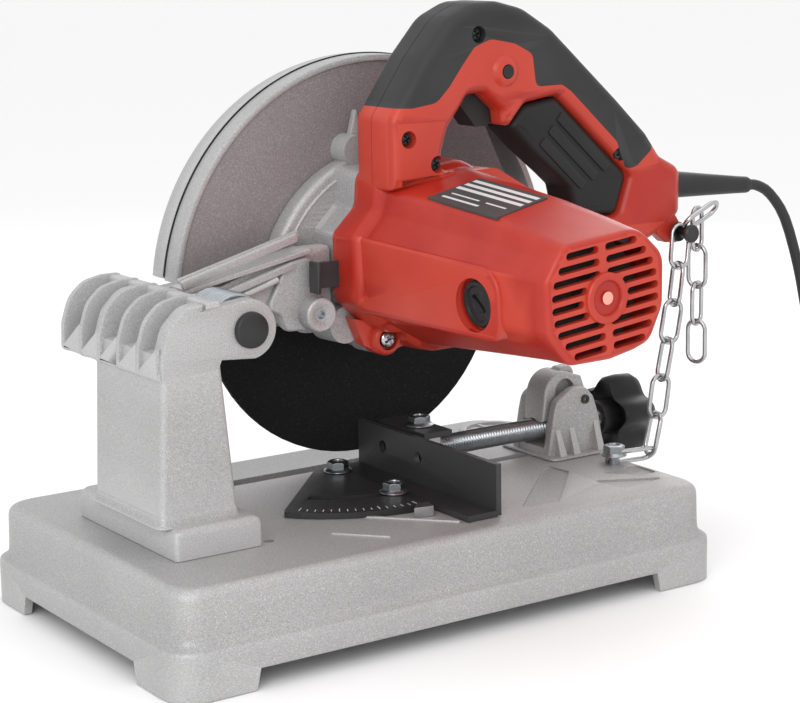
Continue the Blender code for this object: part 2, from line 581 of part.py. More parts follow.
def guards():
    """Two rim halves that meet on a parting line: the near one carries the side plate."""
    sx, sz = SPINDLE
    sector = hub_outline(GUARD_R - 2.6, GUARD_START, math.radians(60.0), 34.0)
    sector = sector + [(112.0, 128.0), (141.0, 172.0), (120.0, 204.0)]
    near = prism("guard_inner", "XZ", (GUARD_Y[0], GUARD_Y[0] + 3.0), sector, parent=HEAD)
    rim_span = (GUARD_Y[0] + 0.4, GUARD_Y[1])
    band = arc(sx, sz, GUARD_R, math.radians(59.0), GUARD_START, 40)
    band += arc(sx, sz, GUARD_R - 3.6, GUARD_START, math.radians(59.0), 40)
    fuse(near, prism("guard_inner_rim", "XZ", rim_span, band))
    cut(near, rod("guard_inner_bore", (sx, 30.0, sz), (sx, 60.0, sz), 9.0, 24))
    paint(near, "mauve")
    rim = arc(sx, sz, GUARD_R, GUARD_END, GUARD_START, 48)
    rim += arc(sx, sz, GUARD_R - 3.0, GUARD_START, GUARD_END, 48)
    far = prism("guard_outer", "XZ", (GUARD_Y[1] + GAP, GUARD_Y[2]), rim, parent=HEAD)
    cover = prism("guard_outer_plate", "XZ", (GUARD_Y[2] - 2.4, GUARD_Y[2] - 0.2),
                  hub_outline(GUARD_R - 1.0, GUARD_START, GUARD_END, 40.0))
    fuse(far, cover)
    cut(far, rod("guard_service_hole", (sx, 60.0, sz), (sx, 80.0, sz), 25.0, 32))
    paint(far, "silver")


# ---- cutting head: motor -------------------------------------------------------------------------
FRONT_SECTION = [(-6.5, 183.0), (6.3, 195.5), (6.3, 206.0), (66.0, 209.0), (82.0, 196.0), (83.0, 158.0),
                 (68.0, 126.0), (54.0, 121.5), (40.0, 121.5), (31.0, 124.5), (8.0, 138.5), (-6.5, 151.5)]
END_SECTION = [(5.2, 177.5), (10.0, 187.0), (15.0, 192.0), (60.0, 196.5), (74.0, 183.5), (74.0, 160.0),
               (66.6, 144.5), (57.0, 141.5), (43.0, 138.6), (19.5, 138.2), (12.0, 146.5), (7.0, 153.5)]


def motor_section_xz(t, inset):
    """The housing's section, t from 0 at the gear case to 1 at the end face, drawn in by inset."""
    points = [Vector(a).lerp(Vector(b), t) for a, b in zip(FRONT_SECTION, END_SECTION)]
    centre = sum(points, Vector((0.0, 0.0))) / len(points)
    out = []
    for p in points:
        away = p - centre
        out.append(tuple(centre + away * (1.0 - inset / away.length)))
    return out


def motor_section(y, inset=0.0):
    t = (MOTOR_Y[1] - y) / (MOTOR_Y[1] - MOTOR_Y[0])
    return [(x, y, z) for x, z in motor_section_xz(min(max(t, 0.0), 1.0), inset)]


def vent_slots():
    """Nine rows of slots through the end face, split round the centre boss, as one cutter."""
    bm = bmesh.new()
    turn = Matrix.Rotation(-HEAD_TILT, 4, "Y")
    centre = Vector((39.5, MOTOR_Y[0] + 2.0, 167.3))
    reach = (22.0, 26.0, 30.0, 31.0, 31.0, 31.0, 30.0, 26.0, 21.0)
    clear = (2.0, 2.0, 9.0, 14.0, 15.5, 14.0, 9.0, 2.0, 2.0)
    for row in range(9):
        z = (row - 4) * 5.6
        for side in (-1, 1):
            near, far = clear[row] * side, reach[row] * side
            made = bmesh.ops.create_cube(bm, size=1.0)["verts"]
            bmesh.ops.scale(bm, vec=(abs(far - near) * MM, 12.0 * MM, 2.9 * MM), verts=made)
            spot = centre + turn @ Vector(((near + far) / 2.0, 0.0, z))
            bmesh.ops.transform(bm, matrix=Matrix.Translation(spot * MM) @ turn, verts=made)
    return add("vent_slots", mesh_of(bm, "vent_slots"))


def brush_axis(side):
    """Outer end and direction of a brush holder, square to the motor shaft and tilted with the head."""
    direction = Matrix.Rotation(-HEAD_TILT, 3, "Y") @ Vector((side, 0.0, 0.0))
    return Vector((MOTOR[0], -105.0, MOTOR[1])), direction


def motor_housing():
    """Red moulded shell, wide at the gear case and narrow at its vented end face."""
    housing = loft("motor_housing", [motor_section(MOTOR_Y[0]), motor_section(MOTOR_Y[0] + 3.0, -1.2),
                                     motor_section(-70.0), motor_section(MOTOR_Y[1])], HEAD)
    hollow = loft("motor_hollow", [motor_section(MOTOR_Y[0] + 3.4, 3.2), motor_section(-70.0, 3.2),
                                   motor_section(MOTOR_Y[1] - 4.0, 3.2),
                                   [(x, y + 8.0, z) for x, y, z in motor_section(MOTOR_Y[1], 3.2)]])
    mx, mz = MOTOR
    seat = tube_ring("rear_bearing_seat", (mx, MOTOR_Y[0] + 2.0, mz), (0, 1, 0), 12.5, 9.3, 11.0)
    lx, lz = HOUSING_SCREW
    fuse(housing, rod("housing_lug", (lx, -8.0, lz), (lx, MOTOR_Y[1] - 0.4, lz), 8.5, 20))
    cut(housing, rod("housing_screw_hole", (lx, -30.0, lz), (lx, 30.0, lz), 2.4, 16),
        rod("housing_screw_seat", (lx, -60.0, lz), (lx, -8.0, lz), 5.6, 20), hollow)
    for side in (-1, 1):
        middle, direction = brush_axis(side)
        cut(housing, rod("brush_hole", middle + direction * 20.0, middle + direction * 60.0, 9.9, 28))
    fuse(housing, seat)
    cut(housing, vent_slots())
    recess = rod("end_recess", (mx, MOTOR_Y[0] - 2.0, mz), (mx, MOTOR_Y[0] + 1.2, mz), 6.0, 28)
    paint(cut(housing, recess), "red")
    screw = rod("housing_screw", (lx, -9.0, lz), (lx, 22.0, lz), 2.0, 16, HEAD)
    paint(fuse(screw, rod("housing_screw_head", (lx, -11.0, lz), (lx, -8.3, lz), 4.6, 24)), "chrome")


def brushes():
    for side, label in ((-1, "left"), (1, "right")):
        middle, direction = brush_axis(side)
        outer = 36.6 if side < 0 else 34.4
        cap = rod("brush_cap_" + label, middle + direction * (outer - 6.0), middle + direction * outer, 9.5,
                  28, HEAD)
        slot = box("brush_cap_slot_" + label, (-1.2, 1.2), (-1.2, 1.2), (-7.0, 7.0))
        slot.location = (middle + direction * outer) * MM
        paint(cut(cap, slot), "rubber")
        brush = rod("carbon_brush_" + label, middle + direction * 11.6, middle + direction * 26.0, 3.6, 4,
                    HEAD)
        paint(brush, "carbon")


def motor_inside():
    """Stator, armature with its commutator and cut pinion, fan and both motor bearings."""
    mx, mz = MOTOR
    stator = tube_ring("stator", (mx, -92.0, mz), (0, 1, 0), 27.0, 19.0, 52.0, 32, HEAD)
    paint(stator, "steel")
    rear = tube_ring("rotor_bearing_rear", (mx, MOTOR_Y[0] + 4.0, mz), (0, 1, 0), 9.0, 4.1, 6.0, 24, HEAD)
    paint(rear, "steel")
    front = tube_ring("rotor_bearing_front", (mx, MOTOR_Y[1] + 0.6, mz), (0, 1, 0), 11.0, 5.0, 5.6, 24, HEAD)
    paint(front, "steel")
    base_y = MOTOR_Y[0] + 3.6
    profile = [(0.0, 166.2), (3.2, 166.2), (3.2, 157.8), (4.8, 157.6), (4.8, 108.0), (18.4, 107.5),
               (18.4, 55.0), (9.0, 54.5), (9.0, 50.0), (11.0, 49.8), (11.0, 34.0), (6.0, 33.6), (6.0, 12.0),
               (3.9, 11.8), (3.9, 0.4), (0.0, 0.0)]
    armature = turned("armature", (mx, base_y, mz), (0, 1, 0), profile, 28, parent=ROTOR)
    pinion_line = gear_outline(mx, mz, PINION_TEETH, MESH_ANGLE + math.pi, 0.5)
    fuse(armature, prism("pinion_teeth", "XZ", (14.6, 22.4), pinion_line))
    paint(armature, "copper")
    fan = tube_ring("cooling_fan", (mx, -12.0, mz), (0, 1, 0), 26.0, 5.2, 3.0, 32, ROTOR)
    for i in range(8):
        blade = box("fan_blade", (7.0, 25.0), (-9.4, -3.0), (-0.9, 0.9))
        turn = Matrix.Rotation(TAU * i / 8, 4, "Y")
        blade.data.transform(Matrix.Translation((mx * MM, 0.0, mz * MM)) @ turn)
        fuse(fan, blade)
    paint(fan, "carbon")


def gear_outline(cx, cz, teeth, facing, phase):
    """Involute spur gear with a stub addendum and a little backlash.

    A tooth stands at the angle facing, or a gap when phase is half a tooth pitch.
    """
    alpha = math.radians(25.0)
    pitch_r = GEAR_MODULE * teeth / 2.0
    base_r = pitch_r * math.cos(alpha)
    tip_r = pitch_r + 0.72 * GEAR_MODULE
    root_r = pitch_r - 1.05 * GEAR_MODULE
    slack = 0.10 / pitch_r
    half = math.pi / (2.0 * teeth) - slack + math.tan(alpha) - alpha
    flank = [(root_r, half + 0.02)]
    for i in range(5):
        r = max(base_r, root_r + 0.05) + (tip_r - max(base_r, root_r + 0.05)) * i / 4.0
        pressure = math.acos(min(1.0, base_r / r))
        flank.append((r, half - (math.tan(pressure) - pressure)))
    points = []
    for k in range(teeth):
        middle = TAU * (k + phase) / teeth + facing
        points += [(cx + r * math.cos(middle - a), cz + r * math.sin(middle - a)) for r, a in flank]
        points += [(cx + r * math.cos(middle + a), cz + r * math.sin(middle + a)) for r, a in reversed(flank)]
    return points


def spindle_parts():
    """Driven gear, spindle, its two bearings, the clamping flanges, the bolt and the disc."""
    sx, sz = SPINDLE
    shaft = [(0.0, 53.4), (7.9, 53.4), (7.9, 33.4), (6.0, 33.2), (6.0, 0.0), (4.2, 0.0), (4.2, -0.6),
             (0.0, -0.6)]
    bored = turned("spindle", (sx, 12.0, sz), (0, 1, 0), shaft, 24, parent=SPIN)
    paint(cut(bored, rod("spindle_tap", (sx, 48.0, sz), (sx, 70.0, sz), 3.4, 16)), "steel")
    gear = prism("spindle_gear", "XZ", (15.2, 21.6), gear_outline(sx, sz, GEAR_TEETH, MESH_ANGLE, 0.0),
                 arc(sx, sz, 6.2, 0.0, TAU * 23 / 24, 23), parent=SPIN)
    paint(gear, "steel")
    for label, y in (("inner", 24.0), ("outer", 30.4)):
        bearing = tube_ring("spindle_bearing_" + label, (sx, y, sz), (0, 1, 0), 13.0, 6.2, 6.0, 28, HEAD)
        paint(bearing, "steel")
    inner = turned("inner_flange", (sx, 45.7, sz), (0, 1, 0),
                   [(20.0, DISC_Y[0] - 46.0), (20.0, 6.5), (12.0, 5.5), (12.0, 0.0), (8.2, 0.0),
                    (8.2, DISC_Y[0] - 46.0)], 36, True, SPIN)
    paint(inner, "steel")
    outer = tube_ring("outer_flange", (sx, DISC_Y[1] + GAP, sz), (0, 1, 0), 20.0, 8.2, 4.0, 36, SPIN)
    paint(outer, "steel")
    bolt = prism("disc_bolt", "XZ", (66.4, 71.0), hexagon(sx, sz, 13.0), parent=SPIN)
    fuse(bolt, rod("disc_bolt_washer", (sx, 65.7, sz), (sx, 66.6, sz), 10.0, 24),
         rod("disc_bolt_shank", (sx, 52.0, sz), (sx, 66.0, sz), 3.0, 16))
    paint(bolt, "zinc")
    disc = tube_ring("abrasive_disc", (sx, DISC_Y[0], sz), (0, 1, 0), DISC_R, 8.2, DISC_Y[1] - DISC_Y[0],
                     72, SPIN)
    paint(disc, "abrasive")


# ---- cutting head: handle ------------------------------------------------------------------------
GRIP_LINE = [(6.5, 246.2), (18.7, 245.8), (32.8, 247.6), (40.7, 255.0), (48.7, 265.2), (56.0, 273.0),
             (66.0, 277.0), (80.7, 274.3), (91.4, 268.6), (94.1, 252.3), (110.8, 252.3), (146.8, 221.2),
             (158.8, 209.0)]
HANDLE_TOP = [(168.0, 203.0), (178.5, 211.0), (169.0, 223.6), (149.0, 242.6), (120.5, 269.6), (106.0, 280.4),
              (86.0, 292.0), (72.0, 295.2), (60.0, 294.6), (42.5, 288.6), (25.5, 271.2), (6.5, 248.0)]
PANEL_INNER = [(79.0, 233.5), (94.0, 219.3), (116.7, 201.2), (120.2, 192.6), (121.0, 184.0)]
PANEL_OUTER = [(150.0, 181.8), (157.3, 203.4), (109.5, 246.9), (88.7, 243.8)]


def shrink(points, distance):
    """Move a closed outline's corners inwards along their bisectors."""
    area = sum(a[0] * b[1] - b[0] * a[1] for a, b in zip(points, points[1:] + points[:1]))
    sign = 1.0 if area > 0 else -1.0
    out = []
    for i, p in enumerate(points):
        a, b = Vector(p) - Vector(points[i - 1]), Vector(points[(i + 1) % len(points)]) - Vector(p)
        na, nb = Vector((-a.y, a.x)).normalized() * sign, Vector((-b.y, b.x)).normalized() * sign
        mid = (na + nb).normalized()
        out.append(tuple(Vector(p) + mid * distance / max(0.5, mid.dot(na))))
    return out


def handle():
    """D-handle: two red half shells, each with a rubber overmould, and the black front panel."""
    body = GRIP_LINE + [(168.0, 202.6), (178.8, 210.6), (190.0, 205.0), (HANDLE_TIP_X, 196.0),
                        (HANDLE_TIP_X, 188.0), (190.0, 176.0), (180.0, 166.0), (166.0, 158.0),
                        (84.5, 150.0), (84.5, 198.0), (67.5, 211.2), (6.5, 210.2)]
    opening = [(38.0, 214.0), (38.0, 223.0), (41.4, 235.0), (48.4, 243.0), (53.7, 250.0), (61.6, 250.0),
               (72.4, 241.5), (73.0, 234.4)] + [PANEL_INNER[0]] + PANEL_OUTER[::-1] + [(121.0, 182.0),
                                                                                      (92.0, 190.0),
                                                                                      (72.0, 214.0)]
    grip = GRIP_LINE[::-1] + [(6.5, 248.0)] + HANDLE_TOP[::-1][1:]
    near, middle, far = HANDLE_Y
    spans = {"near": (near, middle - 0.15), "far": (middle + 0.15, far)}
    switch_room = [(52.0, 252.0), (88.0, 250.0), (86.0, 270.0), (58.0, 270.0)]
    for label, span in spans.items():
        shell = prism("handle_" + label, "XZ", span, body, opening, parent=HEAD)
        room = prism("switch_room_" + label, "XZ", (near + 5.0, far - 5.0), switch_room)
        mouth = prism("trigger_mouth_" + label, "XZ", (middle - 8.0, middle + 8.0),
                      [(53.0, 232.0), (79.0, 232.0), (79.0, 257.0), (53.0, 257.0)])
        cut(shell, room, mouth)
        if label == "near":
            cut(shell, *[rod("handle_screw_hole", (x, near - 5.0, z), (x, near + 3.4, z), 3.6, 20)
                         for x, z in HANDLE_SCREWS])
        button_hole = rod("button_hole_" + label, (74.9, near - 5.0, 260.8), (74.9, near + 9.0, 260.8),
                          3.6, 20)
        paint(cut(shell, button_hole), "red")
        proud = (span[0] - 0.6, span[1]) if label == "near" else (span[0], span[1] + 0.6)
        paint(prism("grip_" + label, "XZ", proud, shrink(grip, GAP), parent=HEAD), "rubber")
    panel = shrink(PANEL_INNER + PANEL_OUTER, GAP)
    paint(prism("front_panel", "XZ", (near + 0.6, far - 0.6), panel, parent=HEAD), "rubber")
    for label, (x, z) in zip(("upper", "lower"), HANDLE_SCREWS):
        screw = rod("handle_screw_" + label, (x, near + 1.2, z), (x, near + 3.2, z), 3.2, 20, HEAD)
        paint(screw, "black_steel")

    trigger = prism("trigger", "XZ", (middle - 7.0, middle + 7.0),
                    [(54.0, 245.5), (58.5, 250.5), (76.5, 250.5), (76.5, 236.0), (70.0, 233.4),
                     (64.0, 233.4)],
                    parent=HEAD)
    paint(trigger, "rubber")
    button = rod("lock_button", (74.9, near - 2.6, 260.8), (74.9, near + 5.4, 260.8), 3.2, 20, HEAD)
    paint(button, "rubber")
    switch = box("switch_body", (60.0, 84.0), (middle - 9.0, middle + 9.0), (256.6, 268.0), HEAD)
    paint(switch, "carbon")


def head_details():
    """Shaft lock lever, chain hook pin and strain relief."""
    lock = box("shaft_lock", (-24.0, -10.0), (1.4, 3.8), (157.0, 172.0), HEAD)
    paint(fuse(lock, box("shaft_lock_tab", (-25.0, -22.6), (-5.0, 3.4), (157.0, 172.0))), "black_steel")
    hx, hz = HOOK
    pin = rod("chain_hook_pin", (hx, HOOK_Y[0], hz), (hx, HOOK_Y[1], hz), 2.6, 16, HEAD)
    fuse(pin, rod("chain_hook_head", (hx, HOOK_Y[0] - 1.6, hz), (hx, HOOK_Y[0] + 0.4, hz), 4.6, 20))
    paint(pin, "black_steel")
    x0, x1, y = RELIEF
    z0, z1 = RELIEF_Z
    relief = rod("strain_relief", (x0, y, z0), (x1, y, z1), 6.8, 24, HEAD, 4.6)
    paint(relief, "rubber")


# ---- chain ---------------------------------------------------------------------------------------
def chain():
    """Hold-down chain as plain runs: bolt to hook, and the free end beyond the hook."""
    cx, cy = CHAIN_BOLT
    paint(hex_bolt("chain_bolt", cx, cy, BASE_Z + 4.2, 10.0, 4.0, 6.6, 3.0, BASE_Z - 12.0), "zinc")
    run = [(cx + 9.0, cy - 1.0, 52.2), (cx + 22.0, cy - 3.5, 52.6), (168.5, -33.0, 66.0),
           (172.0, -33.5, 90.0), (177.0, -33.5, 125.0), (181.5, -33.0, 158.0)]
    paint(wire("chain_run", run, CHAIN_R, 1), "chrome")
    tail = [(193.4, -31.0, 175.0), (196.2, -31.0, 178.6), (198.6, -31.0, 172.0)]
    tail += [(CHAIN_TAIL_X, -31.0, z) for z in (160.0, 130.0, 88.0)]
    paint(wire("chain_tail", tail, CHAIN_R, 1, parent=HEAD), "chrome")


# ---- power lead ----------------------------------------------------------------------------------
CORD_LEAD = [(256.6, -8.0, 188.0), (264.0, -8.0, 187.0), (274.0, -8.0, 181.5), (285.0, -9.0, 167.0),
             (293.0, -12.0, 140.0), (297.0, -15.0, 115.0), (300.0, -19.0, 90.0), (303.0, -24.0, 65.0),
             (307.0, -30.0, 42.0), (313.0, -38.0, 22.0), (322.0, -48.0, 9.0), (334.0, -58.0, 3.4),
             (350.0, -66.0, 3.2), (368.0, -68.5, 3.2)]
COIL = (372.0, -113.2, 35.0)   # centre x, centre y, radius at the middle of its turns
COIL_LAYERS = 4                # the turns lie two side by side in each layer


def power_lead():
    """Lead from the strain relief to the floor, its coil and its plug."""
    lead = wire("cord_lead", smooth_route(CORD_LEAD, 2.3 * CORD_D), CORD_D / 2.0, 2)
    paint(lead, "rubber")
    cx, cy, radius = COIL
    half = CORD_D + 0.2
    coil_top = 0.1 + COIL_LAYERS * CORD_D
    coil = tube_ring("cord_coil", (cx, cy, 0.1), (0, 0, 1), radius + half, radius - half, coil_top - 0.1, 40)
    paint(coil, "rubber")
    low = coil_top + GAP
    plug = prism("plug", "XZ", (cy + 18.0, cy + 44.0),
                 rounded([(cx - 24.0, low), (cx + 8.0, low), (cx + 8.0, low + 17.0), (cx - 24.0, low + 13.0)],
                         2.5, 2))
    for y in (cy + 21.5, cy + 40.5):
        fuse(plug, rod("plug_pin", (cx + 6.0, y, low + 8.0), (cx + 27.0, y, low + 8.0), 2.4, 12))
    paint(plug, "rubber")


base_casting()
hinge_tower()
tower_fasteners()
return_spring()
fence()
vise()
arm_casting()
gear_case()
guards()
motor_housing()
brushes()
motor_inside()
spindle_parts()
handle()
head_details()
chain()
power_lead()
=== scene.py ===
import json
import math

import bmesh
import bpy
from mathutils import Matrix, Vector


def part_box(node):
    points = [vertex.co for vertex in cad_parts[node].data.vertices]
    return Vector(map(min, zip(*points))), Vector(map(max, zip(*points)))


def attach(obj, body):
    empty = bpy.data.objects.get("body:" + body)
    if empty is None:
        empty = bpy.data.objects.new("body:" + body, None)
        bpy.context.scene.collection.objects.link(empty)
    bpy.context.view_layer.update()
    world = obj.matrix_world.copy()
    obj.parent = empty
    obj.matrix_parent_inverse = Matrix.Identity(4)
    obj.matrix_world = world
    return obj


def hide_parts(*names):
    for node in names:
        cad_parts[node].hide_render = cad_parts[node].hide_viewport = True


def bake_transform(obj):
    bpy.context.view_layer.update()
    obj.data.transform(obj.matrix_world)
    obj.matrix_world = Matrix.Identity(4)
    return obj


# Looks for an abrasive chop saw.  Every number is in design millimetres, measured from the middle of the
# base as in the part's source; TO_FRAME turns them into metres in the row frame.
MM = 0.001
TAU = 2.0 * math.pi
UP = Vector((0.0, 0.0, 1.0))

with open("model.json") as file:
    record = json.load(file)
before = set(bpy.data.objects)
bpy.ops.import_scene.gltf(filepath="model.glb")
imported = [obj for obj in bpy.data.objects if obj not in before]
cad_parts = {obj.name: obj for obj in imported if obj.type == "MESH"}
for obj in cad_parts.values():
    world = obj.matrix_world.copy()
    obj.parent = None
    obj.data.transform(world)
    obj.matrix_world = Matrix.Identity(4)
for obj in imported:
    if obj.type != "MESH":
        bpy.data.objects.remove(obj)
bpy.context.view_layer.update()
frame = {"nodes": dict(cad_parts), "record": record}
BASE_CORNER = Vector((-156.0, -94.0, 0.0))
SHIFT = Vector(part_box("base_casting")[0]) - BASE_CORNER * MM
TO_FRAME = Matrix.Translation(SHIFT) @ Matrix.Scale(MM, 4)

HINGE = Vector((-82.8, 0.0, 151.2))
SPINDLE = (37.7, 149.0)
MOTOR = (38.3, 168.99)
END_Y = -147.0
TILT = math.radians(6.5)
GUARD_R = 119.5
VISE = (14.5, 63.5)
HANDLE_Y = (-26.0, -8.0, 8.0)
HOOK = Vector((189.0, -31.0, 170.0))


# ---- camera, light and floor ---------------------------------------------------------------------
def camera():
    """The photograph's view: a long lens from the motor side, a little above the saw."""
    yaw, pitch, roll = 0.59512, 0.20022, 0.01541
    forward = Vector((math.cos(pitch) * math.sin(yaw), math.cos(pitch) * math.cos(yaw), -math.sin(pitch)))
    right = Vector((math.cos(yaw), -math.sin(yaw), 0.0))
    down = forward.cross(right)
    x_axis = math.cos(roll) * right + math.sin(roll) * down
    y_axis = math.sin(roll) * right - math.cos(roll) * down
    data = bpy.data.cameras.new("view")
    data.sensor_width = 36.0
    data.lens = 95.1
    data.clip_start, data.clip_end = 0.05, 60.0
    cam = bpy.data.objects.new("view", data)
    turn = Matrix((x_axis, y_axis, -forward)).transposed().to_4x4()
    cam.matrix_world = Matrix.Translation(TO_FRAME @ Vector((-562.0, -869.5, 334.0))) @ turn
    bpy.context.scene.collection.objects.link(cam)
    bpy.context.scene.camera = cam


def area_light(name, place, aim, size, power, colour=(1.0, 1.0, 1.0)):
    data = bpy.data.lights.new(name, "AREA")
    data.shape = "RECTANGLE"
    data.size, data.size_y = size
    data.energy = power
    data.color = colour
    lamp = bpy.data.objects.new(name, data)
    lamp.location = place
    lamp.rotation_euler = (Vector(aim) - Vector(place)).to_track_quat("-Z", "Y").to_euler()
    bpy.context.scene.collection.objects.link(lamp)


def studio():
    """Even white surroundings, three soft lamps and a pale floor."""
    world = bpy.data.worlds.new("studio")
    world.use_nodes = True
    world.node_tree.nodes["Background"].inputs["Color"].default_value = (1.0, 1.0, 1.0, 1.0)
    world.node_tree.nodes["Background"].inputs["Strength"].default_value = 1.0
    bpy.context.scene.world = world
    area_light("key", (-0.9, -0.9, 0.75), (0.0, 0.0, 0.12), (0.8, 0.8), 7.0)
    area_light("top", (0.1, -0.1, 1.3), (0.0, 0.0, 0.1), (0.9, 0.7), 1.5)
    area_light("edge", (0.9, 0.7, 0.6), (0.0, 0.0, 0.15), (0.5, 0.7), 2.0)
    bm = bmesh.new()
    bmesh.ops.create_grid(bm, x_segments=1, y_segments=1, size=14.0)
    mesh = bpy.data.meshes.new("floor")
    bm.to_mesh(mesh)
    bm.free()
    floor = bpy.data.objects.new("floor", mesh)
    floor.location.z = -0.0004
    bpy.context.scene.collection.objects.link(floor)
    pale = bpy.data.materials.new("pale_floor")
    pale.use_nodes = True
    pale.node_tree.nodes["Principled BSDF"].inputs["Base Color"].default_value = (0.93, 0.93, 0.93, 1.0)
    pale.node_tree.nodes["Principled BSDF"].inputs["Roughness"].default_value = 0.9
    mesh.materials.append(pale)
    bpy.context.scene.view_settings.view_transform = "Standard"


# ---- shapes: each returns a bmesh in design millimetres -------------------------------------------
def box(x, y, z):
    """A block between two values on each axis."""
    bm = bmesh.new()
    bmesh.ops.create_cube(bm, size=1.0)
    size = Vector((x[1] - x[0], y[1] - y[0], z[1] - z[0]))
    bmesh.ops.scale(bm, vec=size, verts=bm.verts[:])
    middle = Vector((x[0] + x[1], y[0] + y[1], z[0] + z[1])) / 2.0
    bmesh.ops.translate(bm, vec=middle, verts=bm.verts[:])
    return bm


def rod(start, end, radius, sides=48, end_radius=None):
    """A round bar between two points, tapered when end_radius is given."""
    a, b = Vector(start), Vector(end)
    bm = bmesh.new()
    tip = radius if end_radius is None else end_radius
    bmesh.ops.create_cone(bm, cap_ends=True, segments=sides, radius1=radius, radius2=tip,
                          depth=(b - a).length)
    turn = (b - a).to_track_quat("Z", "Y").to_matrix().to_4x4()
    bmesh.ops.transform(bm, matrix=Matrix.Translation((a + b) / 2.0) @ turn, verts=bm.verts[:])
    return bm


def turned(origin, axis, profile, steps=64, closed=False):
    """(radius, height) pairs turned about an axis; a radius of nought closes the end."""
    bm = bmesh.new()
    rings = []
    for radius, height in profile:
        if radius < 1e-6:
            rings.append([bm.verts.new((0.0, 0.0, height))])
            continue
        rings.append([bm.verts.new((radius * math.cos(TAU * i / steps), radius * math.sin(TAU * i / steps),
                                    height)) for i in range(steps)])
    pairs = list(zip(rings, rings[1:]))
    if closed:
        pairs.append((rings[-1], rings[0]))
    for low, high in pairs:
        for i in range(steps):
            j = (i + 1) % steps
            corners = [low[i % len(low)], low[j % len(low)], high[j % len(high)], high[i % len(high)]]
            face = list(dict.fromkeys(corners))
            if len(face) > 2:
                bm.faces.new(face)
    turn = Vector(axis).to_track_quat("Z", "Y").to_matrix().to_4x4()
    bmesh.ops.transform(bm, matrix=Matrix.Translation(Vector(origin)) @ turn, verts=bm.verts[:])
    return bm


def loft(sections, closed=False):
    """A skin over outlines that have the same number of points."""
    bm = bmesh.new()
    rings = [[bm.verts.new(Vector(p)) for p in section] for section in sections]
    pairs = list(zip(rings, rings[1:]))
    if closed:
        pairs.append((rings[-1], rings[0]))
    for low, high in pairs:
        for i in range(len(low)):
            j = (i + 1) % len(low)
            bm.faces.new((low[i], low[j], high[j], high[i]))
    if not closed:
        bm.faces.new(rings[0])
        bm.faces.new(rings[-1])
    return bm


def arc(cx, cy, radius, start, end, count):
    """Points along an arc, with angles in radians."""
    return [(cx + radius * math.cos(start + (end - start) * i / count),
             cy + radius * math.sin(start + (end - start) * i / count)) for i in range(count + 1)]


def degrees_arc(cx, cy, radius, start, end, count):
    """Points along an arc, with angles in degrees."""
    return arc(cx, cy, radius, math.radians(start), math.radians(end), count)


def rounded(points, radius, count=5):
    """A closed outline with rounded corners; radius may be one value or one for each corner."""
    out = []
    for i, p in enumerate(points):
        wanted = radius[i] if isinstance(radius, (list, tuple)) else radius
        p = Vector(p)
        before, after = Vector(points[i - 1]) - p, Vector(points[(i + 1) % len(points)]) - p
        half = before.angle(after) / 2.0
        reach = min(wanted / max(math.tan(half), 0.05), 0.46 * before.length, 0.46 * after.length)
        a, b = p + before.normalized() * reach, p + after.normalized() * reach
        for k in range(count + 1):
            t = k / count
            out.append(tuple((1 - t) ** 2 * a + 2 * t * (1 - t) * p + t ** 2 * b))
    return out


PLANES = {"XY": Matrix.Identity(4),
          "XZ": Matrix.Rotation(math.pi / 2.0, 4, "X"),
          "YZ": Matrix(((0, 0, 1, 0), (1, 0, 0, 0), (0, 1, 0, 0), (0, 0, 0, 1)))}


def plate(plane, span, outline, *holes, edge=0.0, grow=0.0):
    """A filled outline, extruded across its plane between two values, with its edges rounded by edge."""
    curve = bpy.data.curves.new("outline", "CURVE")
    curve.dimensions = "2D"
    curve.fill_mode = "BOTH"
    curve.extrude = (span[1] - span[0]) / 2.0 - edge
    curve.bevel_depth = edge
    curve.bevel_resolution = 3 if edge > 1.2 else 1
    curve.offset = grow - edge
    for loop in (outline, *holes):
        spline = curve.splines.new("POLY")
        spline.points.add(len(loop) - 1)
        spline.use_cyclic_u = True
        for point, (u, v) in zip(spline.points, loop):
            point.co = (u, v, 0.0, 1.0)
    source = bpy.data.objects.new("outline", curve)
    bpy.context.scene.collection.objects.link(source)
    bm = bmesh.new()
    mesh = bpy.data.meshes.new_from_object(source.evaluated_get(bpy.context.evaluated_depsgraph_get()))
    bm.from_mesh(mesh)
    bpy.data.meshes.remove(mesh)
    bpy.data.objects.remove(source)
    bpy.data.curves.remove(curve)
    bmesh.ops.remove_doubles(bm, verts=bm.verts[:], dist=1e-3)
    middle = (span[0] + span[1]) / 2.0
    offset = {"XY": (0, 0, middle), "XZ": (0, middle, 0), "YZ": (middle, 0, 0)}[plane]
    bmesh.ops.transform(bm, matrix=Matrix.Translation(offset) @ PLANES[plane], verts=bm.verts[:])
    return bm


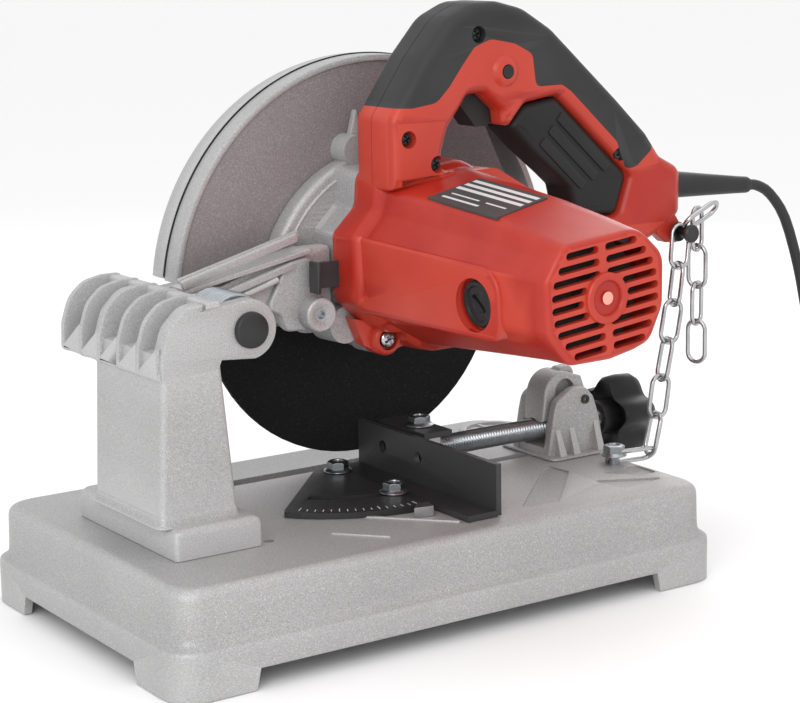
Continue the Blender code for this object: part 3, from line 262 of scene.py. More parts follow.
def sweep(path, radius, sides=12, closed=False):
    """A round tube along a path, its section carried without twist; radius is a number or a function."""
    pts = [Vector(p) for p in path]
    count = len(pts)
    tangents = []
    for i in range(count):
        before = pts[i - 1] if closed or i else pts[0]
        after = pts[(i + 1) % count] if closed or i < count - 1 else pts[-1]
        tangents.append((after - before).normalized())
    normal = tangents[0].orthogonal().normalized()
    bm = bmesh.new()
    rings = []
    for i, (p, t) in enumerate(zip(pts, tangents)):
        normal = (normal - t * normal.dot(t)).normalized()
        side = t.cross(normal)
        r = radius(i / (count - 1)) if callable(radius) else radius
        rings.append([bm.verts.new(p + r * (math.cos(TAU * k / sides) * normal
                                            + math.sin(TAU * k / sides) * side)) for k in range(sides)])
    pairs = list(zip(rings, rings[1:]))
    if closed:
        first, last = rings[0], rings[-1]
        turn = min(range(sides), key=lambda s: (first[s].co - last[0].co).length)
        pairs.append((last, first[turn:] + first[:turn]))
    for low, high in pairs:
        for k in range(sides):
            bm.faces.new((low[k], low[(k + 1) % sides], high[(k + 1) % sides], high[k]))
    if not closed:
        bm.faces.new(rings[0])
        bm.faces.new(rings[-1])
    return bm


def join(*shapes):
    """Several shapes as one mesh, each left as it is."""
    whole = bmesh.new()
    for shape in shapes:
        mesh = bpy.data.meshes.new("shape")
        shape.to_mesh(mesh)
        shape.free()
        whole.from_mesh(mesh)
        bpy.data.meshes.remove(mesh)
    return whole


def helper(bm):
    """A temporary object for a boolean."""
    bmesh.ops.recalc_face_normals(bm, faces=bm.faces[:])
    mesh = bpy.data.meshes.new("helper")
    bm.to_mesh(mesh)
    bm.free()
    obj = bpy.data.objects.new("helper", mesh)
    bpy.context.scene.collection.objects.link(obj)
    return obj


def carve(shape, *tools, operation="DIFFERENCE"):
    """Boolean of one shape with others, evaluated straight away."""
    obj = helper(shape)
    others = [helper(tool) for tool in tools]
    for other in others:
        mod = obj.modifiers.new("carve", "BOOLEAN")
        mod.operation = operation
        mod.solver = "EXACT"
        mod.object = other
    mesh = bpy.data.meshes.new_from_object(obj.evaluated_get(bpy.context.evaluated_depsgraph_get()))
    bm = bmesh.new()
    bm.from_mesh(mesh)
    bpy.data.meshes.remove(mesh)
    for made in [obj] + others:
        data = made.data
        bpy.data.objects.remove(made)
        bpy.data.meshes.remove(data)
    return bm


def move(bm, matrix):
    """Transform a shape and hand it back."""
    bmesh.ops.transform(bm, matrix=matrix, verts=bm.verts[:])
    return bm


def piece(name, bm, look, body, *nodes, edge=0.0, segments=2, angle=38.0):
    """Put a shape into the scene as a piece that rides on a body and may stand for CAD nodes."""
    bmesh.ops.recalc_face_normals(bm, faces=bm.faces[:])
    bmesh.ops.transform(bm, matrix=TO_FRAME, verts=bm.verts[:])
    mesh = bpy.data.meshes.new(name)
    bm.to_mesh(mesh)
    bm.free()
    obj = bpy.data.objects.new(name, mesh)
    bpy.context.scene.collection.objects.link(obj)
    material, slot = LOOKS[look]
    mesh.materials.append(material)
    mesh.shade_smooth()
    mesh.set_sharp_from_angle(angle=math.radians(angle))
    if edge:
        add_edge(obj, edge, segments, angle)
    if body:
        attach(obj, body)
    if nodes:
        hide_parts(*nodes)
    return obj


def add_edge(obj, width, segments=2, angle=38.0):
    """Round the sharp edges with a small bevel."""
    mod = obj.modifiers.new("edge", "BEVEL")
    mod.width = width * MM
    mod.segments = segments
    mod.limit_method = "ANGLE"
    mod.angle_limit = math.radians(angle)
    mod.harden_normals = True
    mod.miter_outer = "MITER_ARC"


# ---- materials -----------------------------------------------------------------------------------
class Look:
    """A Principled material with helpers for layering procedural detail in object space."""

    def __init__(self, name, colour, roughness, metallic=0.0):
        self.material = bpy.data.materials.new(name)
        self.material.use_nodes = True
        self.tree = self.material.node_tree
        self.shader = self.tree.nodes["Principled BSDF"]
        self.shader.inputs["Base Color"].default_value = (*colour, 1.0)
        self.shader.inputs["Roughness"].default_value = roughness
        self.shader.inputs["Metallic"].default_value = metallic
        self.place = self.tree.nodes.new("ShaderNodeTexCoord").outputs["Object"]
        self.height = None

    def link(self, a, b):
        self.tree.links.new(a, b)

    def noise(self, size, detail=3.0, stretch=None):
        """Noise whose grains are about size millimetres across."""
        node = self.tree.nodes.new("ShaderNodeTexNoise")
        node.inputs["Scale"].default_value = 1.0 / (size * MM)
        node.inputs["Detail"].default_value = detail
        place = self.place
        if stretch:
            mapping = self.tree.nodes.new("ShaderNodeMapping")
            mapping.inputs["Scale"].default_value = stretch
            self.link(place, mapping.inputs["Vector"])
            place = mapping.outputs["Vector"]
        self.link(place, node.inputs["Vector"])
        return node.outputs["Fac"]

    def cells(self, size):
        node = self.tree.nodes.new("ShaderNodeTexVoronoi")
        node.inputs["Scale"].default_value = 1.0 / (size * MM)
        self.link(self.place, node.inputs["Vector"])
        return node.outputs["Distance"]

    def ramp(self, value, low, high, first=(0, 0, 0), second=(1, 1, 1)):
        node = self.tree.nodes.new("ShaderNodeValToRGB")
        node.color_ramp.elements[0].position = low
        node.color_ramp.elements[1].position = high
        node.color_ramp.elements[0].color = (*first, 1.0)
        node.color_ramp.elements[1].color = (*second, 1.0)
        self.link(value, node.inputs["Fac"])
        return node.outputs["Color"]

    def tint(self, mask, colour, amount=1.0):
        """Mix a colour over the base colour where the mask is white."""
        node = self.tree.nodes.new("ShaderNodeMix")
        node.data_type = "RGBA"
        scale = self.tree.nodes.new("ShaderNodeMath")
        scale.operation = "MULTIPLY"
        scale.inputs[1].default_value = amount
        self.link(mask, scale.inputs[0])
        self.link(scale.outputs["Value"], node.inputs["Factor"])
        source = self.shader.inputs["Base Color"]
        if source.is_linked:
            self.link(source.links[0].from_socket, node.inputs[6])
        else:
            node.inputs[6].default_value = source.default_value
        node.inputs[7].default_value = (*colour, 1.0)
        self.link(node.outputs[2], source)
        return self

    def rough(self, mask, low, high):
        node = self.tree.nodes.new("ShaderNodeMapRange")
        node.inputs["To Min"].default_value = low
        node.inputs["To Max"].default_value = high
        self.link(mask, node.inputs["Value"])
        self.link(node.outputs["Result"], self.shader.inputs["Roughness"])
        return self

    def bump(self, mask, depth, strength=0.5):
        node = self.tree.nodes.new("ShaderNodeBump")
        node.inputs["Strength"].default_value = strength
        node.inputs["Distance"].default_value = depth * MM
        self.link(mask, node.inputs["Height"])
        if self.height is not None:
            self.link(self.height, node.inputs["Normal"])
        self.height = node.outputs["Normal"]
        self.link(self.height, self.shader.inputs["Normal"])
        return self

    def painted_edge_highlight(self, colour, amount):
        """Painted highlight: paler convex edges, from the mesh's pointiness."""
        geometry = self.tree.nodes.new("ShaderNodeNewGeometry")
        mask = self.ramp(geometry.outputs["Pointiness"], 0.51, 0.58)
        return self.tint(mask, colour, amount)


def sand_paint(name, colour, dark, bright, roughness=0.5):
    """Textured metallic paint with darker and brighter grains, and a painted highlight on convex edges."""
    look = Look(name, colour, roughness, 0.35)
    look.tint(look.ramp(look.noise(0.75, 2.0), 0.36, 0.52, (1, 1, 1), (0, 0, 0)), dark, 0.55)
    look.tint(look.ramp(look.noise(0.55, 1.0), 0.56, 0.68), bright, 0.6)
    look.tint(look.ramp(look.noise(45.0, 2.0), 0.35, 0.7), dark, 0.18)
    look.rough(look.noise(0.9, 2.0), roughness - 0.12, roughness + 0.16)
    look.bump(look.noise(0.8, 3.0), 0.10, 0.5)
    # painted highlight on convex edges, in the bright grain colour
    look.painted_edge_highlight(bright, 0.35)
    return look.material


def moulded(name, colour, roughness, grain, depth, haze_and_edge_highlight):
    """Moulded plastic or rubber with a fine grain, a slightly hazy tone and a painted highlight on convex
    edges.
    """
    look = Look(name, colour, roughness)
    look.tint(look.ramp(look.noise(30.0, 3.0), 0.4, 0.75), haze_and_edge_highlight, 0.12)
    look.rough(look.noise(9.0, 4.0), roughness - 0.05, roughness + 0.07)
    look.bump(look.noise(grain, 2.0), depth, 0.35)
    # painted highlight on convex edges, in the pale tint
    look.painted_edge_highlight(haze_and_edge_highlight, 0.25)
    return look.material


def metal(name, colour, roughness, grain=0.5, stretch=(1.0, 1.0, 1.0), depth=0.012):
    """Bare or plated metal with fine, uneven brushing."""
    look = Look(name, colour, roughness, 1.0)
    look.rough(look.noise(grain, 4.0, stretch), roughness - 0.09, roughness + 0.13)
    look.tint(look.ramp(look.noise(6.0, 4.0), 0.42, 0.7), tuple(c * 0.62 for c in colour), 0.35)
    look.bump(look.noise(grain, 3.0, stretch), depth, 0.4)
    return look.material


def grit(name):
    """Bonded abrasive grains."""
    look = Look(name, (0.012, 0.012, 0.0125), 0.9)
    look.tint(look.ramp(look.cells(0.9), 0.05, 0.35, (1, 1, 1), (0, 0, 0)), (0.05, 0.048, 0.046), 0.5)
    look.tint(look.ramp(look.noise(1.2, 1.0), 0.66, 0.74), (0.06, 0.057, 0.057), 0.35)
    look.rough(look.noise(1.0, 2.0), 0.72, 0.98)
    look.bump(look.cells(0.7), 0.12, 0.7)
    return look.material


def windings(name):
    """Varnished copper wire, side by side."""
    look = Look(name, (0.55, 0.23, 0.09), 0.4, 0.7)
    look.tint(look.ramp(look.noise(0.8, 1.0, (1.0, 0.08, 1.0)), 0.4, 0.6), (0.2, 0.07, 0.03), 0.7)
    look.bump(look.noise(0.8, 1.0, (1.0, 0.08, 1.0)), 0.1, 0.7)
    return look.material


def satin_black(name, colour, roughness, grain=0.35):
    """Dark coated steel with faint streaks and a painted highlight on convex edges."""
    look = Look(name, colour, roughness, 0.2)
    look.tint(look.ramp(look.noise(0.9, 3.0, (1.0, 0.12, 1.0)), 0.6, 0.82), (0.07, 0.07, 0.072), 0.3)
    look.rough(look.noise(12.0, 5.0), roughness - 0.08, roughness + 0.12)
    look.bump(look.noise(grain, 2.0), 0.02, 0.35)
    # painted highlight on convex edges, in a pale grey
    look.painted_edge_highlight((0.12, 0.12, 0.12), 0.35)
    return look.material


LOOKS = {
    "silver": (sand_paint("silver_sand_paint", (0.40, 0.395, 0.395), (0.24, 0.235, 0.235),
                          (0.66, 0.66, 0.66)),
               "painted_casting"),
    "mauve": (sand_paint("mauve_guard_paint", (0.22, 0.19, 0.195), (0.13, 0.108, 0.112),
                         (0.40, 0.37, 0.375), 0.55),
              "guard_plate"),
    "red": (moulded("red_moulding", (0.37, 0.016, 0.008), 0.34, 0.5, 0.015, (0.80, 0.12, 0.07)),
            "red_housing"),
    # painted highlight: a pale red disc for the light caught on the end boss
    "boss_highlight": (moulded("painted_highlight_red", (0.85, 0.30, 0.24), 0.4, 0.5, 0.01, (0.95, 0.6, 0.5)), "red_housing"),
    "rubber": (moulded("soft_rubber", (0.028, 0.028, 0.029), 0.52, 0.45, 0.03, (0.09, 0.09, 0.09)),
               "soft_grip"),
    "panel": (moulded("black_moulding", (0.018, 0.0175, 0.018), 0.45, 0.4, 0.02, (0.05, 0.05, 0.05)),
              "black_panel"),
    "knob": (moulded("knob_moulding", (0.012, 0.012, 0.012), 0.42, 0.7, 0.02, (0.05, 0.05, 0.05)),
             "knob_plastic"),
    "cord": (moulded("cord_rubber", (0.025, 0.025, 0.026), 0.48, 0.6, 0.015, (0.07, 0.07, 0.07)),
             "cord_rubber"),
    "black": (satin_black("satin_black_steel", (0.010, 0.010, 0.0105), 0.38), "black_steel"),
    "dark": (satin_black("shadow_black", (0.004, 0.004, 0.004), 0.85), "black_panel"),
    "grit": (grit("bonded_grit"), "abrasive"),
    "zinc": (metal("zinc_plate", (0.40, 0.43, 0.45), 0.30, 0.6), "zinc_steel"),
    "chrome": (metal("bright_chain_plate", (0.50, 0.50, 0.51), 0.20, 0.8), "bright_chain"),
    "steel": (metal("machined_steel", (0.52, 0.52, 0.53), 0.33, 0.35, (1.0, 0.15, 1.0)), "machined_steel"),
    "copper": (windings("varnished_windings"), "copper_winding"),
    "carbon": (satin_black("carbon_grey", (0.03, 0.03, 0.031), 0.6), "carbon"),
    "label": (satin_black("label_grey", (0.05, 0.05, 0.052), 0.4), "black_panel"),
    "print": (moulded("label_pale", (0.62, 0.62, 0.63), 0.4, 0.6, 0.005, (0.75, 0.75, 0.75)),
              "painted_casting"),
}
for dull, level in (("rubber", 0.22), ("panel", 0.2), ("knob", 0.25), ("black", 0.3), ("cord", 0.25),
                    ("grit", 0.2), ("dark", 0.05), ("label", 0.25), ("red", 0.38)):
    LOOKS[dull][0].node_tree.nodes["Principled BSDF"].inputs["Specular IOR Level"].default_value = level
SLOT_LOOK = {"painted_casting": "silver", "guard_plate": "mauve", "red_housing": "red", "soft_grip": "rubber",
             "black_panel": "panel", "black_steel": "black", "abrasive": "grit", "zinc_steel": "zinc",
             "bright_chain": "chrome", "machined_steel": "steel", "copper_winding": "copper",
             "carbon": "carbon", "cord_rubber": "cord", "knob_plastic": "knob"}


def dress_cad_nodes():
    """Give every CAD node its finished material, and soften the edges of the ones that stay in view."""
    softened = {"fence_angle": 0.5, "vise_jaw": 0.5, "jaw_block": 0.4, "angle_pointer": 0.4,
                "shaft_lock": 0.3, "hinge_pin": 0.8, "release_pin": 0.4, "plug": 1.2, "trigger": 1.2,
                "lock_button": 0.5, "switch_body": 0.6, "abrasive_disc": 0.3, "inner_flange": 0.5,
                "outer_flange": 0.5, "brush_cap_right": 0.6}
    slots = {entry["node"]: entry["material_slot"] for entry in frame["record"]["subparts"]}
    for name, obj in frame["nodes"].items():
        material = LOOKS[SLOT_LOOK[slots[name]]][0]
        for i in range(len(obj.material_slots)):
            obj.material_slots[i].material = material
        if name in softened:
            add_edge(obj, softened[name])


# ---- power lead ----------------------------------------------------------------------------------
CORD_LEAD = [(256.6, -8.0, 188.0), (264.0, -8.0, 187.0), (274.0, -8.0, 181.5), (285.0, -9.0, 167.0),
             (293.0, -12.0, 140.0), (297.0, -15.0, 115.0), (300.0, -19.0, 90.0), (303.0, -24.0, 65.0),
             (307.0, -30.0, 42.0), (313.0, -38.0, 22.0), (322.0, -48.0, 9.0), (334.0, -58.0, 3.4),
             (350.0, -66.0, 3.2), (368.0, -68.5, 3.2)]
COIL = (372.0, -113.2)
COIL_RADII = (38.0, 32.0)
CORD_D = 6.0


def through(points, each=8):
    """A Catmull-Rom curve through points."""
    pts = [Vector(p) for p in points]
    pts = [2 * pts[0] - pts[1]] + pts + [2 * pts[-1] - pts[-2]]
    out = []
    for a, b, c, d in zip(pts, pts[1:], pts[2:], pts[3:]):
        for k in range(each):
            t = k / each
            out.append(0.5 * (2 * b + (c - a) * t + (2 * a - 5 * b + 4 * c - d) * t ** 2
                              + (3 * b - a - 3 * c + d) * t ** 3))
    out.append(pts[-2])
    return out


def ease(t):
    """Smooth step from nought to one."""
    return t * t * (3.0 - 2.0 * t)


def coil_points():
    """Turns side by side in pairs, four layers high, wound the way the lead arrives."""
    steps, turns = 24, 8
    order = []
    for turn in range(turns):
        layer = turn // 2
        outer_first = layer % 2 == 0
        radius = COIL_RADII[0 if (turn % 2 == 0) == outer_first else 1]
        order.append((radius, 3.2 + CORD_D * layer))
    points = []
    for i in range(int(turns * steps - steps * 0.4)):
        turn = i // steps
        mix = ease(min(1.0, (i % steps) / (steps * 0.3)))
        last = order[max(0, turn - 1)]
        radius = last[0] + (order[turn][0] - last[0]) * mix
        height = last[1] + (order[turn][1] - last[1]) * mix
        angle = math.radians(40.0) - TAU * i / steps
        points.append((COIL[0] + radius * math.cos(angle), COIL[1] + radius * math.sin(angle), height))
    return points


def power_lead():
    """The lead from the handle to the floor, its coil and the tail that rises to the plug."""
    lead_in = [(380.5, -70.3, 3.2), (391.0, -76.0, 3.2)]
    wound = coil_points()
    tail = [(334.8, -109.0, 23.0), (337.0, -98.0, 26.5), (341.5, -89.0, 30.0), (349.0, -83.5, 32.0)]
    route = CORD_LEAD + lead_in + wound + tail
    path = through(route, 3)
    lead = piece("power_lead", sweep(path, CORD_D / 2.0, 12), "cord", None, "cord_lead", "cord_coil")
    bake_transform(lead)
    metres = [tuple(TO_FRAME @ p) for p in path]
    length = sum((Vector(b) - Vector(a)).length for a, b in zip(metres, metres[1:]))
    print("lead length", round(length, 3))
    relief = strain_relief()


def strain_relief():
    """Tapered rubber sleeve at the handle."""
    start, end = Vector((194.0, -8.0, 193.2)), Vector((256.0, -8.0, 188.0))
    length = (end - start).length
    profile = [(3.05, length), (4.3, length), (4.55, length - 0.8)]
    for i in range(24):
        t = 1.0 - (i + 1) / 25.0
        profile.append((4.6 + 2.9 * (1.0 - t) ** 1.1, 4.0 + (length - 6.0) * t))
    profile += [(8.2, 3.4), (8.4, 2.6), (8.4, 0.0), (0.0, 0.0)]
    return piece("lead_sleeve", turned(start, end - start, profile, 40), "cord", "head", "strain_relief")


# ---- base ----------------------------------------------------------------------------------------
def base_outline(inset):
    """The outline of the table, drawn in by a distance."""
    x0, x1, y0, y1 = -156.0 + inset, 160.0 - inset, -94.0 + inset, 106.0 - inset
    return rounded([(x0, y0), (x1, y0), (x1, y1), (x0, y1)], max(18.0 - inset * 0.4, 5.0), 10)


def base():
    """Hollow table with a stepped skirt, corner feet, slots, shallow pockets and a ring boss."""
    levels = [(0.0, 0.0), (20.5, 0.0), (22.0, 0.3), (22.8, 1.0), (24.4, 3.2), (26.2, 4.0), (28.6, 4.2),
              (30.5, 4.3), (44.5, 4.6), (46.6, 4.9), (48.2, 5.8), (49.3, 7.1), (49.9, 8.8), (50.0, 10.0)]
    body = loft([[(x, y, z) for x, y in base_outline(i)] for z, i in levels])
    inner = [(-2.0, 4.0), (20.0, 5.0), (26.0, 8.8), (44.0, 9.8)]
    tools = [loft([[(x, y, z) for x, y in base_outline(i)] for z, i in inner])]
    foot = 42.0
    slope = 3.0
    tools.append(plate("XZ", (-112.0, 124.0), [(-156.0 + foot - slope, -3.0), (160.0 - foot + slope, -3.0),
                                               (160.0 - foot, 10.0), (-156.0 + foot, 10.0)]))
    tools.append(plate("YZ", (-176.0, 180.0), [(-94.0 + foot - slope, -3.0), (106.0 - foot + slope, -3.0),
                                               (106.0 - foot, 10.0), (-94.0 + foot, 10.0)]))
    tools.append(plate("XY", (40.0, 55.0),
                       rounded([(-72.0, 54.0), (104.0, 54.0), (104.0, 64.0), (-72.0, 64.0)],
                                                   2.0, 3)))
    tools.append(plate("XY", (40.0, 55.0), rounded([(52.0, 11.0), (119.0, 11.0), (119.0, 18.0), (52.0, 18.0)],
                                                   1.5, 3)))
    shallow = (49.0, 53.0)
    tools.append(plate("XY", shallow, rounded([(112.8, -9.0), (114.4, -27.3), (73.2, -71.2), (50.6, -69.3)],
                                              3.0, 4)))
    tools.append(plate("XY", shallow, rounded([(111.7, -49.5), (115.2, -71.3), (147.0, -67.5)], 2.5, 4)))
    tools.append(plate("XY", shallow,
                       rounded([(125.0, -40.0), (150.0, -40.0), (150.0, -56.0), (139.0, -58.0)],
                                              2.5, 4)))
    tools.append(rod((-78.0, -42.0, 44.0), (-78.0, -42.0, 53.0), 2.6, 24))
    body = carve(body, *tools)
    piece("base_table", body, "silver", "base", "base_casting", edge=0.6)
    lines = [((-48.3, -5.5), (12.1, -71.2)), ((-48.5, -50.2), (-29.1, -72.2))]
    ribs = []
    for a, b in lines:
        along = (Vector(b) - Vector(a)).normalized()
        side = Vector((-along.y, along.x)) * 1.1
        ends = [Vector(a) + side, Vector(a) - side, Vector(b) - side, Vector(b) + side]
        ribs.append(plate("XY", (49.6, 50.9), rounded([tuple(p) for p in ends], 1.0, 3), edge=0.4))
    piece("base_raised_lines", join(*ribs), "silver", "base")
    ring = [(17.5, 1.6), (19.5, 1.3), (20.5, -0.4), (15.0, -0.4), (15.8, 1.3)]
    boss = turned((137.0, 69.0, 50.0), UP, ring, 56, True)
    cross = [box((122.0, 152.0), (68.0, 70.0), (49.6, 51.0)), box((136.0, 138.0), (54.0, 84.0), (49.6, 51.0))]
    piece("base_ring_boss", join(boss, *cross), "silver", "base", edge=0.3)


# ---- tower ---------------------------------------------------------------------------------------
def column_section(z):
    """The outline of the tower column at a height."""
    t = (z - 64.0) / (140.0 - 64.0)
    x0, x1 = -132.4 + 3.4 * t, -91.6 - 7.0 * t
    return [(x, y, z) for x, y in rounded([(x0, -39.0), (x1, -39.0), (x1, 29.0), (x0, 29.0)], 3.2, 5)]


def tower():
    """Column on a flared foot, with cheeks and fins round the hinge pin and its spring."""
    foot_lines = [(50.3, 0.0), (61.0, 0.0), (63.4, 0.6), (65.0, 2.6)]
    foot = loft([[(x, y, z) for x, y in rounded([(-130.0 + i, -47.5 + i), (-84.0 - i, -47.5 + i),
                                                 (-84.0 - i, 52.0 - i), (-130.0 + i, 52.0 - i)], 2.5, 4)]
                 for z, i in foot_lines])
    flare = loft([[(x, y, z) for x, y in rounded([(-132.4 - g, -39.0 - g), (-91.6 + g, -39.0 - g),
                                                  (-91.6 + g, 29.0 + g), (-132.4 - g, 29.0 + g)], 3.2 + g, 5)]
                  for z, g in ((64.4, 2.4), (65.2, 1.1), (66.6, 0.4), (69.0, 0.0))])
    column = loft([column_section(z) for z in (66.0, 90.0, 115.0, 144.0)])
    back = rounded([(-131.6, 132.6), (-131.0, 146.0), (-127.0, 158.0), (-119.0, 165.0), (-109.0, 167.2),
                    (-98.0, 167.2), (-98.0, 140.0), (-124.0, 130.0)], [3, 14, 16, 12, 4, 3, 3, 4], 6)
    y0, y1, thick = -39.0, 62.0, 3.0
    pitch = (y1 - y0 - thick) / 5.0
    ribs = [plate("XZ", (y0 + i * pitch, y0 + i * pitch + thick), back, edge=1.0) for i in range(1, 6)]
    wall = plate("XZ", (y0 + 1.0, y1 - 1.0), rounded([(-108.0, 137.0), (-105.0, 166.4), (-98.0, 166.4),
                                                      (-98.0, 140.0)], 2.0, 4))
    shelf = plate("XZ", (y0 + 1.0, y1 - 1.0), rounded([(-131.0, 132.8), (-130.4, 136.4), (-108.0, 141.0),
                                                       (-102.0, 136.0), (-124.0, 130.4)], 1.5, 4))
    webs = []
    for i in range(5):
        a = y0 + thick + i * pitch - 0.6
        b = a + pitch - thick + 1.2
        webs.append(plate("YZ", (-131.0, -128.6), [(b, 133.4), (a, 133.4), (a, 147.6), (b, 135.4)], edge=0.4))
    cheek_line = rounded([(-129.6, 128.0), (-129.4, 143.0), (-125.4, 156.0), (-116.0, 165.0),
                          (-105.0, 166.2)],
                         [2, 10, 14, 12, 2], 6)[4:]
    cheek_line += degrees_arc(HINGE.x, HINGE.z, 14.2, 88.0, -80.0, 20)
    cheek_line += [(-98.0, 138.6), (-100.0, 134.0)]
    near = plate("XZ", (y0 - 0.2, -30.0), cheek_line, edge=1.2)
    far = plate("XZ", (21.0, 30.0), cheek_line, edge=1.2)
    piece("tower_body", join(column, flare), "silver", "base", "hinge_tower")
    piece("tower_foot", foot, "silver", "base")
    piece("tower_cheeks", join(wall, shelf, near, far), "silver", "base")
    piece("tower_ribs", join(*ribs), "silver", "base")
    piece("tower_webs", join(*webs), "silver", "base", edge=0.5)
    cap = turned((HINGE.x, -39.2, HINGE.z), (0, -1, 0),
                 [(0.0, 3.2), (7.2, 3.2), (8.3, 2.4), (8.6, 1.2), (8.6, 0.0), (0.0, 0.0)], 56)
    shaft = rod((HINGE.x, -40.0, HINGE.z), (HINGE.x, 36.0, HINGE.z), 6.5, 40)
    piece("hinge_pin_capped", join(cap, shaft), "black", "base", "hinge_pin")
    coil = []
    turns, per_turn = 9, 28
    for i in range(turns * per_turn + 1):
        angle = TAU * i / per_turn
        coil.append((HINGE.x + 14.2 * math.cos(angle), -27.0 + 25.0 * i / (turns * per_turn),
                     HINGE.z + 14.2 * math.sin(angle)))
    coil = [(HINGE.x - 16.0, -27.4, HINGE.z - 12.0)] + coil + [(HINGE.x + 24.0, -1.6, HINGE.z + 3.0)]
    spring = piece("torsion_spring", sweep(coil, 1.25, 10), "zinc", None, "return_spring")
    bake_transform(spring)


# ---- arm, gear case and guard --------------------------------------------------------------------
def strip(a, b, thick):
    """A thin straight outline between two points in a plane, with square ends."""
    along = (Vector(b) - Vector(a)).normalized()
    side = Vector((-along.y, along.x)) * thick / 2.0
    return [tuple(Vector(a) + side), tuple(Vector(a) - side), tuple(Vector(b) - side),
            tuple(Vector(b) + side)]


def arm():
    """Hinge barrel, four rails, a web, a boss and the shaft lock."""
    barrel = turned((HINGE.x, -29.4, HINGE.z), (0, 1, 0),
                    [(6.9, 49.8), (12.2, 49.8), (12.6, 49.0), (12.6, 28.5), (10.4, 28.0), (10.4, 3.0),
                     (12.6, 2.6), (12.6, 0.6), (12.2, 0.0), (6.9, 0.0)], 56, True)
    upper_near = plate("XZ", (3.6, 6.6), rounded(strip((-94.0, 167.0), (-30.0, 184.4), 4.6), 1.2, 3),
                       edge=0.8)
    upper_far = plate("XZ", (18.6, 21.4), rounded(strip((-88.0, 165.6), (-20.0, 183.4), 4.2), 1.2, 3),
                      edge=0.8)
    floor = plate("XZ", (5.0, 20.6), rounded(strip((-92.0, 163.6), (-22.0, 176.6), 2.6), 1.0, 2), edge=0.6)
    lower_near = plate("XZ", (3.6, 6.6), rounded(strip((-74.0, 159.6), (-32.0, 170.8), 3.8), 1.2, 3),
                       edge=0.8)
    lower_far = plate("XZ", (18.6, 21.4), rounded(strip((-70.0, 156.0), (-23.6, 168.4), 3.4), 1.2, 3),
                      edge=0.8)
    rib = sweep([(-66.0, 4.4, 157.2), (-60.0, 4.0, 159.0), (-50.0, 3.8, 162.0), (-42.0, 4.0, 164.6)], 1.5, 14)
    web = plate("XZ", (9.0, 17.0), rounded([(-86.0, 160.0), (-70.0, 164.0), (-26.0, 178.0), (-8.0, 178.0),
                                            (-8.0, 140.0), (-34.0, 137.6), (-38.0, 147.0), (-50.0, 151.0),
                                            (-66.0, 144.0), (-84.0, 140.0)], 3.0, 4), edge=1.2)
    shield = plate("XZ", (6.0, 12.0), rounded([(-47.0, 150.0), (-35.0, 172.0), (-22.0, 174.0), (-14.0, 150.0),
                                               (-22.0, 137.0), (-36.0, 137.4), (-39.0, 146.0)], 4.0, 5),
                   edge=1.6)
    boss = turned((-21.0, 12.0, 145.5), (0, -1, 0),
                  [(3.0, 13.6), (6.0, 15.0), (7.6, 15.0), (8.4, 14.2), (8.6, 6.0), (10.4, 4.0), (11.0, 0.0),
                   (0.0, 0.0)], 48)
    screw = turned((-21.0, 0.0, 145.5), (0, -1, 0),
                   [(0.0, -0.6), (1.9, -0.4), (2.1, 1.6), (4.4, 1.6), (4.9, 0.9), (4.9, -3.0), (0.0, -3.0)],
                   40)
    piece("arm_body", join(barrel, upper_near, upper_far, floor, lower_near, lower_far, rib, web, shield),
          "silver", "head", "arm_casting")
    piece("arm_boss", boss, "silver", "head")
    piece("arm_socket_screw", screw, "zinc", "head")
    lock = [(-24.5, 3.2), (-22.2, 3.2), (-22.2, -4.2), (-23.0, -5.0), (-24.5, -5.0)]
    tab = plate("XY", (156.5, 172.0), rounded(lock, 0.5, 2), edge=0.3)
    bar = box((-24.4, -6.4), (1.2, 3.2), (158.0, 171.0))
    piece("shaft_lock_bracket", join(tab, bar), "black", "shaft_lock", "shaft_lock", edge=0.4)


def gear_case():
    """Drum round the gears, with the seat for the motor."""
    sx, sz = SPINDLE
    drum_line = degrees_arc(sx, sz, 72.0, -14.0, 172.0, 72) + [(-37.0, 150.0), (-30.0, 138.0)]
    drum_line += degrees_arc(sx, sz, 33.0, 205.0, 335.0, 28)
    drum = plate("XZ", (25.0, 37.6), drum_line, edge=3.0)
    ridge_points = [(sx + 66.0 * math.cos(a), 25.2, sz + 66.0 * math.sin(a))
                    for a in (math.radians(-8.0 + 2.5 * i) for i in range(64))]
    ridge = sweep(ridge_points, 1.0, 8)
    knuckle = rod((19.0, 24.0, 221.5), (19.0, 37.6, 221.5), 8.0, 32)
    fin = plate("XZ", (29.4, 33.4), rounded([(13.0, 215.0), (18.5, 230.0), (22.2, 243.4), (24.6, 230.0),
                                             (30.0, 214.0)], 0.8, 3), edge=0.5)
    block = loft([[(x, y, z) for x, z in rounded(motor_line(8.0, grow), 5.0, 5)]
                  for y, grow in ((8.3, -0.2), (20.0, 0.4), (27.0, 2.0))])
    rear = turned((0.0, 27.0, 136.5), (0, -1, 0), [(0.0, 18.6), (9.4, 18.6), (10.0, 0.0), (0.0, 0.0)], 40)
    front = turned((22.0, 27.0, 127.5), (0, -1, 0), [(0.0, 18.6), (8.6, 18.6), (9.2, 0.0), (0.0, 0.0)], 40)
    tools = [rod((sx, 10.0, sz), (sx, 23.4, sz), 18.4, 40), rod((MOTOR[0], 7.0, MOTOR[1]),
                                                                (MOTOR[0], 14.6, MOTOR[1]), 11.3, 32),
             rod((MOTOR[0], 7.0, MOTOR[1]), (MOTOR[0], 23.2, MOTOR[1]), 8.6, 32),
             rod((sx, 20.0, sz), (sx, 44.0, sz), 13.3, 40)]
    body = carve(carve(drum, block, rear, front, knuckle, fin, operation="UNION"), *tools)
    piece("gear_case_body", body, "silver", "head", "gear_case", edge=0.6)
    piece("gear_case_ridge", ridge, "silver", "head")


